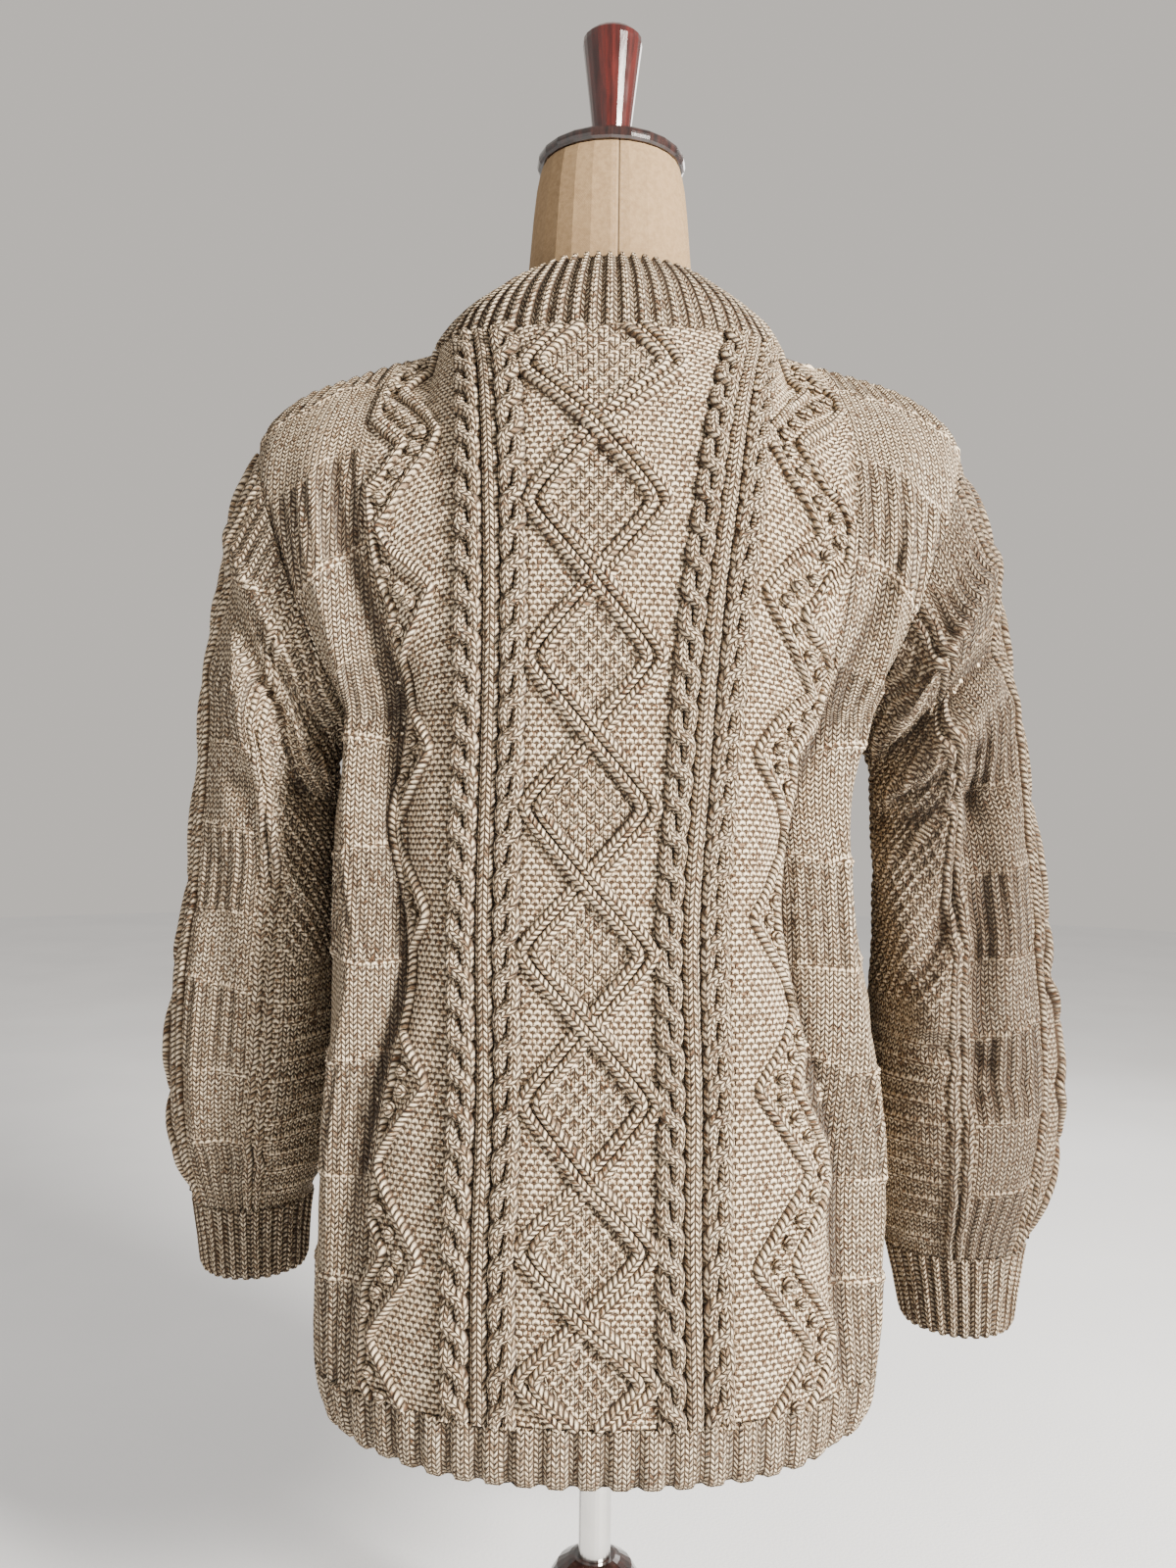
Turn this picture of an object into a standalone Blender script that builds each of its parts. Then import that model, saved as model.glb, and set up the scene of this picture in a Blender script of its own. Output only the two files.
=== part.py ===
"""Cable knit sweater worn on a limbless dress form with a turned stand.

Metres, +Z up. The origin is on the floor, under the pole. The back of the garment faces -Y, and +X is
the wearer's right. The sweater is a tube of separate knitted pieces: each is a wall lofted through
sections, and neighbours keep SEAM_GAP between them along their seams.
"""

import math

import bmesh
import bpy
import numpy as np

COLLECTION = "cable_knit_sweater"

WALL = 0.004  # a cabled worsted knit
BAND_WALL = (WALL, 0.0056, 0.0064, 0.0064, 0.0060)  # up the neckband, which is knitted double and folded
SEAM_GAP = 0.0003
ROUNDNESS = 2.3  # exponent of the body's oval sections

HEM = 0.266
UNDERARM = 0.735
SHOULDER_TIP = (0.245, 0.924)  # x and z where the shoulder seam meets the sleeve
UNDERARM_X = 0.177
NECK_POINT = (0.122, -0.004, 0.999)  # where shoulder seam and neckband meet
SHOULDER_SLOPE = 0.475  # share of the seam's fall that is a straight slope; the rest rounds the tip
ARMHOLE_BACK = 0.080
ARMHOLE_FRONT = 0.074
NECK_SHARE = 0.51  # share of a half row, from the centre, that lies inside the neckband at the top

SIDE_FADE = 0.12  # the long folds die out over these shares of a row and of the yoke
TOP_FADE = 0.25
ROLL_STEEP = 0.68  # share of a roll's reach on its inner side, and on its outer side
ROLL_EASY = 1.1
VALLEY_SHIFT = 0.007

BAND_HALF_WIDTH = 0.083
BAND_HALF_DEPTH = 0.072
BAND_CENTRE = 0.010
BAND_TOP = {"back": 1.048, "side": 1.034, "front": 0.988}
BAND_BULGE = 0.006

POLE_RADIUS = 0.0115
HUB_TOP = 0.140
BASE_RADIUS = 0.150
BASE_THICKNESS = 0.022
FORM_BOTTOM = 0.400
NECK_TOP = 1.134
NECK_CENTRE = 0.010
CAP_RADIUS = 0.0535
CAP_THICKNESS = 0.0095
FINIAL_HEIGHT = 0.092

SLEEVE_LENGTH = 0.55
SLEEVE_GIRTH = 0.42

TURNED_STEPS = 24
SLEEVE_ROWS = 13

# Places of a half panel's columns, as shares of the row from the centre line to the side.
INNER_COLUMNS = (0.0, 0.11, 0.22, 0.32, 0.42, NECK_SHARE)
HALF_COLUMNS = INNER_COLUMNS + (0.56, 0.605, 0.65, 0.69, 0.73, 0.77, 0.81, 0.86, 0.93, 1.0)
BODY_HEIGHTS = (0.305, 0.34, 0.38, 0.42, 0.46, 0.50, 0.54, 0.58, 0.62, 0.66, 0.70, UNDERARM)
YOKE_PLACES = (0.1, 0.2, 0.3, 0.4, 0.5, 0.6, 0.7, 0.8, 0.9, 1.0)
WELT_HEIGHTS = (HEM, 0.283, 0.305)


class Table:
    """Rows of named columns, read on a smooth curve at any value of the first column."""

    def __init__(self, names, *rows):
        self.names = names.split()
        self.columns = np.array(rows, dtype=float).T

    def at(self, place, name):
        x = self.columns[0]
        y = self.columns[self.names.index(name)]
        slope = np.gradient(y, x)
        place = np.clip(place, x[0], x[-1])
        i = np.clip(np.searchsorted(x, place) - 1, 0, len(x) - 2)
        step = x[i + 1] - x[i]
        t = (place - x[i]) / step
        start = (1 + 2 * t) * (1 - t) ** 2 * y[i] + t * (1 - t) ** 2 * step * slope[i]
        end = t**2 * (3 - 2 * t) * y[i + 1] + t**2 * (t - 1) * step * slope[i + 1]
        return start + end


# The body's outer face below the underarm, as distances from the axis.
BODY = Table(
    "height left right back front",
    (HEM, 0.187, 0.183, 0.145, 0.136),
    (0.283, 0.193, 0.189, 0.150, 0.141),
    (0.305, 0.197, 0.192, 0.150, 0.142),
    (0.36, 0.197, 0.192, 0.148, 0.143),
    (0.45, 0.193, 0.192, 0.138, 0.138),
    (0.55, 0.190, 0.187, 0.124, 0.133),
    (0.62, 0.190, 0.171, 0.118, 0.135),
    (0.69, 0.187, 0.164, 0.119, 0.141),
    (UNDERARM, UNDERARM_X, UNDERARM_X, 0.122, 0.143),
)

# The centre lines above the underarm, and how far round a half row turns by its side end.
YOKE_BACK = Table(
    "place height depth turn",
    (0.0, UNDERARM, 0.122, 90.0),
    (0.25, 0.802, 0.126, 76.0),
    (0.5, 0.870, 0.123, 67.0),
    (0.75, 0.934, 0.111, 62.0),
    (1.0, 0.992, 0.085, 60.0),
)
YOKE_FRONT = Table(
    "place height depth turn",
    (0.0, UNDERARM, 0.143, 90.0),
    (0.25, 0.788, 0.145, 78.0),
    (0.5, 0.838, 0.140, 70.0),
    (0.75, 0.884, 0.128, 64.0),
    (1.0, 0.928, 0.109, 60.0),
)

# Long soft folds down the panels: across is measured on the cloth from the centre line, rise is how
# far the fold stands out (or sinks, below zero) and reach is its half width.
FOLD_COLUMNS = "height across rise reach"
BACK_LEFT_FOLDS = (
    Table(
        FOLD_COLUMNS,
        (0.27, 0.190, 0.002, 0.024),
        (0.38, 0.188, 0.010, 0.024),
        (0.49, 0.178, 0.015, 0.023),
        (0.57, 0.160, 0.017, 0.022),
        (0.66, 0.164, 0.017, 0.022),
        (0.755, 0.168, 0.017, 0.021),
        (0.84, 0.186, 0.012, 0.019),
        (0.92, 0.196, 0.004, 0.018),
    ),
    Table(
        FOLD_COLUMNS,
        (0.30, 0.160, 0.000, 0.015),
        (0.41, 0.158, -0.003, 0.015),
        (0.49, 0.145, -0.006, 0.015),
        (0.58, 0.124, -0.009, 0.015),
        (0.66, 0.130, -0.009, 0.015),
        (0.766, 0.138, -0.008, 0.015),
        (0.865, 0.164, -0.006, 0.015),
        (0.93, 0.176, 0.000, 0.015),
    ),
)
BACK_RIGHT_FOLDS = (
    Table(
        FOLD_COLUMNS,
        (0.27, 0.196, 0.002, 0.024),
        (0.365, 0.198, 0.012, 0.023),
        (0.445, 0.194, 0.015, 0.023),
        (0.53, 0.170, 0.017, 0.022),
        (0.612, 0.158, 0.017, 0.022),
        (0.68, 0.168, 0.017, 0.022),
        (0.76, 0.186, 0.014, 0.020),
        (0.84, 0.192, 0.010, 0.018),
        (0.92, 0.198, 0.002, 0.018),
    ),
    Table(
        FOLD_COLUMNS,
        (0.30, 0.158, -0.002, 0.015),
        (0.365, 0.162, -0.006, 0.015),
        (0.445, 0.158, -0.008, 0.015),
        (0.53, 0.132, -0.009, 0.015),
        (0.612, 0.116, -0.010, 0.015),
        (0.68, 0.130, -0.009, 0.015),
        (0.741, 0.152, -0.007, 0.015),
        (0.81, 0.168, -0.006, 0.015),
        (0.90, 0.184, 0.000, 0.015),
    ),
)
FRONT_LEFT_FOLDS = (
    Table(
        FOLD_COLUMNS,
        (0.27, 0.176, 0.002, 0.024),
        (0.40, 0.182, 0.010, 0.024),
        (0.55, 0.168, 0.013, 0.022),
        (0.70, 0.182, 0.012, 0.022),
        (0.84, 0.196, 0.004, 0.020),
    ),
    Table(
        FOLD_COLUMNS,
        (0.30, 0.146, 0.000, 0.015),
        (0.42, 0.148, -0.005, 0.015),
        (0.56, 0.132, -0.008, 0.015),
        (0.70, 0.148, -0.006, 0.015),
        (0.82, 0.168, 0.000, 0.015),
    ),
)
FRONT_RIGHT_FOLDS = (
    Table(
        FOLD_COLUMNS,
        (0.27, 0.190, 0.001, 0.024),
        (0.38, 0.192, 0.009, 0.023),
        (0.52, 0.180, 0.014, 0.022),
        (0.66, 0.176, 0.014, 0.022),
        (0.80, 0.194, 0.005, 0.020),
    ),
    Table(
        FOLD_COLUMNS,
        (0.30, 0.156, 0.000, 0.015),
        (0.40, 0.158, -0.004, 0.015),
        (0.52, 0.146, -0.008, 0.015),
        (0.66, 0.142, -0.008, 0.015),
        (0.78, 0.164, 0.000, 0.015),
    ),
)
FOLDS = {
    "back": (BACK_LEFT_FOLDS, BACK_RIGHT_FOLDS),
    "front": (FRONT_LEFT_FOLDS, FRONT_RIGHT_FOLDS),
}

# Sleeve sections from the armhole down: the outer and inner edge of each ring, its middle in depth,
# and its half depths. The last rows belong to the cuff.
SLEEVE_COLUMNS = "along outer_x outer_z inner_x inner_z middle back front"
LEFT_SLEEVE = Table(
    SLEEVE_COLUMNS,
    (0.00, 0.245, 0.924, UNDERARM_X, UNDERARM, 0.000, ARMHOLE_BACK, ARMHOLE_FRONT),
    (0.09, 0.264, 0.885, 0.188, 0.717, 0.003, 0.080, 0.075),
    (0.19, 0.276, 0.827, 0.194, 0.694, 0.010, 0.078, 0.075),
    (0.31, 0.289, 0.758, 0.195, 0.657, 0.021, 0.075, 0.074),
    (0.44, 0.299, 0.685, 0.193, 0.612, 0.033, 0.073, 0.072),
    (0.57, 0.308, 0.610, 0.192, 0.561, 0.042, 0.072, 0.071),
    (0.69, 0.317, 0.540, 0.193, 0.507, 0.048, 0.071, 0.071),
    (0.80, 0.321, 0.477, 0.197, 0.456, 0.051, 0.067, 0.067),
    (0.91, 0.317, 0.420, 0.206, 0.410, 0.052, 0.057, 0.057),
    (1.00, 0.306, 0.379, 0.219, 0.379, 0.052, 0.044, 0.044),
    (1.05, 0.302, 0.354, 0.222, 0.354, 0.052, 0.041, 0.041),
    (1.10, 0.299, 0.327, 0.223, 0.327, 0.052, 0.040, 0.040),
)
RIGHT_SLEEVE = Table(
    SLEEVE_COLUMNS,
    (0.00, 0.245, 0.924, UNDERARM_X, UNDERARM, 0.000, ARMHOLE_BACK, ARMHOLE_FRONT),
    (0.09, 0.263, 0.883, 0.188, 0.716, 0.002, 0.080, 0.075),
    (0.19, 0.278, 0.821, 0.194, 0.690, 0.007, 0.078, 0.075),
    (0.31, 0.293, 0.750, 0.197, 0.648, 0.014, 0.074, 0.073),
    (0.44, 0.309, 0.676, 0.198, 0.598, 0.022, 0.072, 0.072),
    (0.57, 0.323, 0.602, 0.198, 0.544, 0.029, 0.072, 0.072),
    (0.69, 0.334, 0.528, 0.198, 0.490, 0.034, 0.073, 0.073),
    (0.80, 0.339, 0.464, 0.199, 0.440, 0.037, 0.070, 0.070),
    (0.91, 0.332, 0.404, 0.205, 0.392, 0.038, 0.059, 0.059),
    (1.00, 0.315, 0.358, 0.215, 0.356, 0.038, 0.044, 0.044),
    (1.05, 0.310, 0.330, 0.222, 0.329, 0.038, 0.041, 0.041),
    (1.10, 0.306, 0.299, 0.228, 0.299, 0.038, 0.039, 0.039),
)

# Folds on a sleeve, each a straight run over the cloth: from and to are places along the sleeve and
# degrees round it (0 under the arm, 90 at the back, 180 outside), rise and reach as on the body.
SLEEVE_FOLD_COLUMNS = "number along_from around_from along_to around_to rise reach"
LEFT_SLEEVE_FOLDS = Table(
    SLEEVE_FOLD_COLUMNS,
    (1, 0.10, 30.0, 0.16, 150.0, -0.006, 0.016),
    (2, 0.17, 20.0, 0.27, 130.0, 0.006, 0.018),
    (3, 0.26, 10.0, 0.36, 100.0, -0.006, 0.014),
    (4, 0.44, 40.0, 0.86, 66.0, 0.005, 0.020),
    (5, 0.50, 110.0, 0.90, 96.0, -0.005, 0.016),
    (6, 0.52, 300.0, 0.60, 220.0, -0.005, 0.016),
    (7, 0.16, 335.0, 0.22, 230.0, -0.005, 0.018),
    (8, 0.66, 150.0, 0.95, 175.0, 0.004, 0.020),
)
RIGHT_SLEEVE_FOLDS = Table(
    SLEEVE_FOLD_COLUMNS,
    (1, 0.08, 30.0, 0.13, 140.0, 0.006, 0.016),
    (2, 0.14, 26.0, 0.21, 140.0, -0.008, 0.013),
    (3, 0.20, 20.0, 0.29, 130.0, 0.008, 0.015),
    (4, 0.27, 14.0, 0.36, 110.0, -0.008, 0.013),
    (5, 0.30, 20.0, 0.62, 60.0, 0.011, 0.018),
    (6, 0.34, 96.0, 0.74, 84.0, -0.011, 0.015),
    (7, 0.60, 150.0, 0.94, 130.0, -0.005, 0.017),
    (8, 0.50, 310.0, 0.60, 220.0, -0.005, 0.016),
    (9, 0.15, 335.0, 0.24, 235.0, -0.005, 0.018),
)

# The dress form's sections.
FORM = Table(
    "height half_width back front middle",
    (0.402, 0.128, 0.092, 0.092, 0.000),
    (0.412, 0.146, 0.106, 0.108, 0.000),
    (0.45, 0.152, 0.110, 0.113, 0.000),
    (0.52, 0.146, 0.103, 0.107, 0.000),
    (0.62, 0.116, 0.086, 0.095, 0.000),
    (0.70, 0.126, 0.094, 0.105, 0.000),
    (0.80, 0.146, 0.106, 0.120, 0.000),
    (0.86, 0.157, 0.100, 0.108, 0.000),
    (0.915, 0.166, 0.082, 0.068, 0.000),
    (0.948, 0.166, 0.062, 0.044, 0.000),
    (0.972, 0.144, 0.046, 0.034, 0.000),
    (0.986, 0.106, 0.046, 0.036, 0.004),
    (1.002, 0.074, 0.053, 0.050, NECK_CENTRE),
    (1.030, 0.0630, 0.0600, 0.0600, NECK_CENTRE),
    (1.080, 0.0595, 0.0590, 0.0590, NECK_CENTRE),
    (1.120, 0.0560, 0.0560, 0.0560, NECK_CENTRE),
    (NECK_TOP, 0.0515, 0.0515, 0.0515, NECK_CENTRE),
)
FORM_AROUND = 14
FORM_ROUNDNESS = 2.1


def oval(half_width, centre_depth, side_depth, turn, shares):
    """Points from the centre line to the side end of a half row, at shares of its length. Each has
    x, depth and the distance run."""
    angle = np.radians(np.linspace(0.0, turn, 121))
    run_x = np.sin(angle) ** (2 / ROUNDNESS)
    run_y = np.clip(np.cos(angle), 0.0, 1.0) ** (2 / ROUNDNESS)
    x = half_width * run_x / run_x[-1]
    depth = side_depth + (centre_depth - side_depth) * (run_y - run_y[-1]) / (1 - run_y[-1])
    run = np.concatenate(([0.0], np.cumsum(np.hypot(np.diff(x), np.diff(depth)))))
    wanted = np.asarray(shares) * run[-1]
    return np.interp(wanted, run, x), np.interp(wanted, run, depth), wanted


def armhole(place, side_depth):
    """x, depth and height on one half of the armhole, from the underarm (0) to the shoulder tip (1)."""
    tip_x, tip_z = SHOULDER_TIP
    swing = 0.5 - 0.5 * math.cos(math.pi * place)
    x = UNDERARM_X + (tip_x - UNDERARM_X) * swing
    z = UNDERARM + (tip_z - UNDERARM) * swing
    return x, side_depth * math.sin(math.pi * place), z


def top_edge(face, shares):
    """The panel's top edge on the +X side: the neck curve, then the shoulder seam. x, y and z."""
    outward = -1.0 if face == "back" else 1.0
    yoke = YOKE_BACK if face == "back" else YOKE_FRONT
    point_x, point_y, point_z = NECK_POINT
    tip_x, tip_z = SHOULDER_TIP
    angle = np.clip(shares / NECK_SHARE, 0.0, 1.0) * math.pi / 2
    centre_y = outward * yoke.at(1.0, "depth")
    drop = point_z - yoke.at(1.0, "height")
    along = np.clip((shares - NECK_SHARE) / (1.0 - NECK_SHARE), 0.0, 1.0)
    x = point_x * np.sin(angle) + (tip_x - point_x) * along
    y = point_y + (centre_y - point_y) * np.cos(angle) - point_y * along
    fall = 1.0 - (1.0 - SHOULDER_SLOPE * along) * np.sqrt(1.0 - along**8)
    z = point_z - drop * np.cos(angle) ** 1.4 + (tip_z - point_z) * fall
    return np.stack((x, y, z), axis=-1)


def fold_rise(face, side, height, across):
    """How far the long folds move the cloth out at each point of a half row. A roll falls steeply
    on its inner side, and its valley lies close under it."""
    roll, valley = FOLDS[face][0 if side < 0 else 1]
    away = across - roll.at(height, "across")
    reach = roll.at(height, "reach") * np.where(away < 0, ROLL_STEEP, ROLL_EASY)
    rise = roll.at(height, "rise") * np.exp(-((away / reach) ** 2))
    away = across - valley.at(height, "across") - VALLEY_SHIFT
    return rise + valley.at(height, "rise") * np.exp(-((away / valley.at(height, "reach")) ** 2))


def half_row(face, side, shares, level, yoke_place=None):
    """One half of a panel's row, from the centre line to the side end, with its folds."""
    outward = -1.0 if face == "back" else 1.0
    if yoke_place is None:
        half_width = BODY.at(level, "left" if side < 0 else "right")
        x, depth, across = oval(half_width, BODY.at(level, face), 0.0, 90.0, shares)
        z = np.full_like(x, level)
    else:
        yoke = YOKE_BACK if face == "back" else YOKE_FRONT
        side_depth = ARMHOLE_BACK if face == "back" else ARMHOLE_FRONT
        end_x, end_depth, end_z = armhole(yoke_place, side_depth)
        centre_z = yoke.at(yoke_place, "height")
        turn = yoke.at(yoke_place, "turn")
        x, depth, across = oval(end_x, yoke.at(yoke_place, "depth"), end_depth, turn, shares)
        z = centre_z + (end_z - centre_z) * shares**2
    row = np.stack((x, outward * depth, z), axis=-1)
    if yoke_place is not None:
        tip_x, tip_z = SHOULDER_TIP
        centre_z = yoke.at(1.0, "height")
        x, depth, _ = oval(tip_x, yoke.at(1.0, "depth"), 0.0, yoke.at(1.0, "turn"), shares)
        plain = np.stack((x, outward * depth, centre_z + (tip_z - centre_z) * shares**2), axis=-1)
        row = row + (top_edge(face, shares) - plain) * yoke_place**3
    along = np.gradient(row, axis=0)
    out = np.stack((along[:, 1] * -outward, along[:, 0] * outward), axis=-1)
    out /= np.linalg.norm(out, axis=1, keepdims=True)
    rise = fold_rise(face, side, row[:, 2], across) * np.clip((1.0 - shares) / SIDE_FADE, 0.0, 1.0)
    if yoke_place is not None:
        rise *= min((1.0 - yoke_place) / TOP_FADE, 1.0)
    row[:, 0] += out[:, 0] * rise
    row[:, 1] += out[:, 1] * rise
    row[:, 0] *= side
    return row


def full_row(face, level, yoke_place=None):
    shares = np.array(HALF_COLUMNS)
    left = half_row(face, -1.0, shares, level, yoke_place)
    right = half_row(face, 1.0, shares, level, yoke_place)
    middle = (left[0] + right[0]) / 2
    return np.concatenate((left[:0:-1], [middle], right[1:]))


def panel_skin(face):
    rows = [full_row(face, height) for height in BODY_HEIGHTS]
    rows += [full_row(face, UNDERARM, place) for place in YOKE_PLACES]
    return np.array(rows)


def welt_skin(face):
    return np.array([full_row(face, height) for height in WELT_HEIGHTS])


def sleeve_angles():
    """Degrees round the sleeve at each point of a ring, up the back and down the front."""
    up = [180.0 * place for place in (0.0, *YOKE_PLACES)]
    down = [360.0 - degrees for degrees in up[-2:0:-1]]
    return np.array(up + down)


def on_cloth(along, around):
    """A place on the flat sleeve, in metres down it and round it."""
    return np.stack((along * SLEEVE_LENGTH, around / 360.0 * SLEEVE_GIRTH), axis=-1)


def sleeve_fold_rise(folds, along, around):
    rise = np.zeros_like(around)
    for number in folds.columns[0]:
        start = on_cloth(folds.at(number, "along_from"), folds.at(number, "around_from"))
        run = on_cloth(folds.at(number, "along_to"), folds.at(number, "around_to")) - start
        reach = folds.at(number, "reach")
        for turn in (-360.0, 0.0, 360.0):
            here = on_cloth(np.full_like(around, along), around + turn)
            share = np.clip((here - start) @ run / (run @ run), 0.0, 1.0)
            away = np.linalg.norm(here - start - share[:, None] * run, axis=1)
            rise += folds.at(number, "rise") * np.exp(-((away / reach) ** 2))
    fade = min(along / 0.06, 1.0) * min(max((1.0 - along) / 0.06, 0.0), 1.0)
    return rise * fade


def sleeve_ring(table, folds, side, along):
    around = np.radians(sleeve_angles())
    inner = np.array((table.at(along, "inner_x"), table.at(along, "inner_z")))
    outer = np.array((table.at(along, "outer_x"), table.at(along, "outer_z")))
    swing = (0.5 - 0.5 * np.cos(around))[:, None]
    flat = inner + (outer - inner) * swing
    depth = np.where(np.sin(around) >= 0, table.at(along, "back"), table.at(along, "front"))
    y = table.at(along, "middle") - depth * np.sin(around)
    ring = np.stack((flat[:, 0], y, flat[:, 1]), axis=-1)
    middle = ring.mean(axis=0)
    out = ring - middle
    out /= np.linalg.norm(out, axis=1, keepdims=True)
    ring += out * sleeve_fold_rise(folds, along, np.degrees(around))[:, None]
    ring[:, 0] *= side
    return ring


def sleeve_skin(table, folds, side):
    places = np.linspace(0.0, 1.0, SLEEVE_ROWS)
    return np.array([sleeve_ring(table, folds, side, along) for along in places])


def cuff_skin(table, folds, side):
    return np.array([sleeve_ring(table, folds, side, along) for along in (1.0, 1.05, 1.10)])


def neckband_skin():
    """Rings from the neck seam up to the folded edge, round from the centre back."""
    shares = np.array(INNER_COLUMNS)
    back = top_edge("back", shares)
    front = top_edge("front", shares)
    mirror = np.array((-1.0, 1.0, 1.0))
    right = np.concatenate((back, front[-2::-1]))
    ring = np.concatenate((right, (right * mirror)[-2:0:-1]))
    angle = np.concatenate((shares / NECK_SHARE * 90.0, 180.0 - shares[-2::-1] / NECK_SHARE * 90.0))
    angle = np.radians(np.concatenate((angle, 360.0 - angle[-2:0:-1])))
    tall = BAND_TOP["side"] + np.where(
        np.cos(angle) > 0,
        (BAND_TOP["back"] - BAND_TOP["side"]) * np.cos(angle) ** 2,
        (BAND_TOP["front"] - BAND_TOP["side"]) * np.cos(angle) ** 2,
    )
    top = np.stack(
        (BAND_HALF_WIDTH * np.sin(angle), BAND_CENTRE - BAND_HALF_DEPTH * np.cos(angle), tall), axis=-1
    )
    out = np.stack((np.sin(angle), -np.cos(angle), np.full_like(angle, 0.5)), axis=-1)
    shares = np.linspace(0.0, 1.0, len(BAND_WALL))
    return np.array([ring + (top - ring) * t + out * BAND_BULGE * math.sin(math.pi * t) for t in shares])


class Skin:
    """One piece's outer face: a grid of points, closed round its rows or not, and its seam edges."""

    def __init__(self, points, thickness=WALL, closed=False, seams=""):
        self.points = points
        self.thickness = thickness
        self.closed = closed
        self.seams = seams.split()
        self.normals = self.find_normals()

    def find_normals(self):
        up = np.gradient(self.points, axis=0)
        if self.closed:
            across = np.roll(self.points, -1, axis=1) - np.roll(self.points, 1, axis=1)
        else:
            across = np.gradient(self.points, axis=1)
        normals = np.cross(across, up)
        normals /= np.linalg.norm(normals, axis=2, keepdims=True)
        return normals

    def edge_mask(self):
        mask = np.zeros(self.points.shape[:2], dtype=bool)
        mask[0] = mask[-1] = True
        if not self.closed:
            mask[:, 0] = mask[:, -1] = True
        return mask


def face_outward(skins, axis_points):
    """Turns each skin's normals away from the middle of its hollow."""
    for name, skin in skins.items():
        away = skin.points - np.array(axis_points[name])
        if (away * skin.normals).sum() < 0:
            skin.normals *= -1


def share_seam_normals(skins):
    """Gives points that meet in a seam one common normal, so that the walls meet in a mitre."""
    places = []
    owners = []
    for skin in skins.values():
        rows, columns = np.nonzero(skin.edge_mask())
        for row, column in zip(rows, columns):
            places.append(skin.points[row, column])
            owners.append((skin, row, column))
    places = np.array(places)
    found = []
    for place in places:
        near = np.nonzero(np.linalg.norm(places - place, axis=1) < 1e-5)[0]
        total = sum(owners[i][0].normals[owners[i][1], owners[i][2]] for i in near)
        found.append(total / np.linalg.norm(total))
    for (skin, row, column), normal in zip(owners, found):
        skin.normals[row, column] = normal


def open_seams(skin):
    """The outer and inner points, with each seam edge drawn back by half the seam gap."""
    outer = skin.points.copy()
    thickness = np.broadcast_to(skin.thickness, len(outer))[:, None, None]
    inner = skin.points - skin.normals * thickness
    edges = {
        "bottom": (np.s_[0, :], np.s_[1, :]),
        "top": (np.s_[-1, :], np.s_[-2, :]),
        "left": (np.s_[:, 0], np.s_[:, 1]),
        "right": (np.s_[:, -1], np.s_[:, -2]),
    }
    for name in skin.seams:
        edge, beside = edges[name]
        back = skin.points[beside] - skin.points[edge]
        back = back / np.linalg.norm(back, axis=-1, keepdims=True) * SEAM_GAP * 0.55
        outer[edge] += back
        inner[edge] += back
    return outer, inner


def place_object(name, mesh, material):
    piece = bpy.data.objects.new(name, mesh)
    bpy.data.collections[COLLECTION].objects.link(piece)
    mesh.materials.append(material)
    return piece


def close_rim(shape, outer, inner):
    """Faces between an edge of the outer points and the same edge of the inner points. Each step is
    split from its lower outer point, so the rims on both sides of a seam have the same facets."""

    def rank(vert):
        x, y, z = vert.co
        return z + 0.3 * abs(x) + 0.1 * y

    for i in range(len(outer) - 1):
        first, second = (i, i + 1) if rank(outer[i]) < rank(outer[i + 1]) else (i + 1, i)
        shape.faces.new((outer[first], outer[second], inner[second]))
        shape.faces.new((outer[first], inner[second], inner[first]))


def wall_object(name, skin, material):
    """A closed wall between a skin's outer and inner points."""
    shape = bmesh.new()
    grids = [[[shape.verts.new(point) for point in row] for row in grid] for grid in open_seams(skin)]
    if skin.closed:
        grids = [[row + row[:1] for row in grid] for grid in grids]
    for grid in grids:
        for low, high in zip(grid, grid[1:]):
            for j in range(len(low) - 1):
                shape.faces.new((low[j], low[j + 1], high[j + 1], high[j]))
    outer, inner = grids
    close_rim(shape, outer[0], inner[0])
    close_rim(shape, outer[-1], inner[-1])
    if not skin.closed:
        for j in (0, -1):
            close_rim(shape, [row[j] for row in outer], [row[j] for row in inner])
    bmesh.ops.recalc_face_normals(shape, faces=shape.faces)
    mesh = bpy.data.meshes.new(name)
    shape.to_mesh(mesh)
    shape.free()
    mesh.shade_smooth()
    mesh.set_sharp_from_angle(angle=math.radians(50))
    return place_object(name, mesh, material)


def turned_object(name, profile, material, centre_y=0.0):
    """A solid of revolution: the profile's radius and height run down its outer side."""
    mesh = bpy.data.meshes.new(name)
    points = [(radius, 0.0, height) for radius, height in profile]
    mesh.from_pydata(points, [(i, i + 1) for i in range(len(points) - 1)], [])
    piece = place_object(name, mesh, material)
    piece.location.y = centre_y
    screw = piece.modifiers.new("turn", "SCREW")
    screw.steps = screw.render_steps = TURNED_STEPS
    screw.use_merge_vertices = True
    screw.merge_threshold = 0.00001
    screw.use_smooth_shade = True
    return piece


def rounded_disc(radius, top, bottom, round_by):
    """Profile of a disc with rounded rims."""
    profile = [(0.0, top)]
    for degrees in (90, 60, 30, 0):
        out = round_by * math.cos(math.radians(degrees))
        up = round_by * math.sin(math.radians(degrees))
        profile.append((radius - round_by + out, top - round_by + up))
    for degrees in (0, -30, -60, -90):
        out = round_by * math.cos(math.radians(degrees))
        up = round_by * math.sin(math.radians(degrees))
        profile.append((radius - round_by + out, bottom + round_by + up))
    profile.append((0.0, bottom))
    return profile


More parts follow.
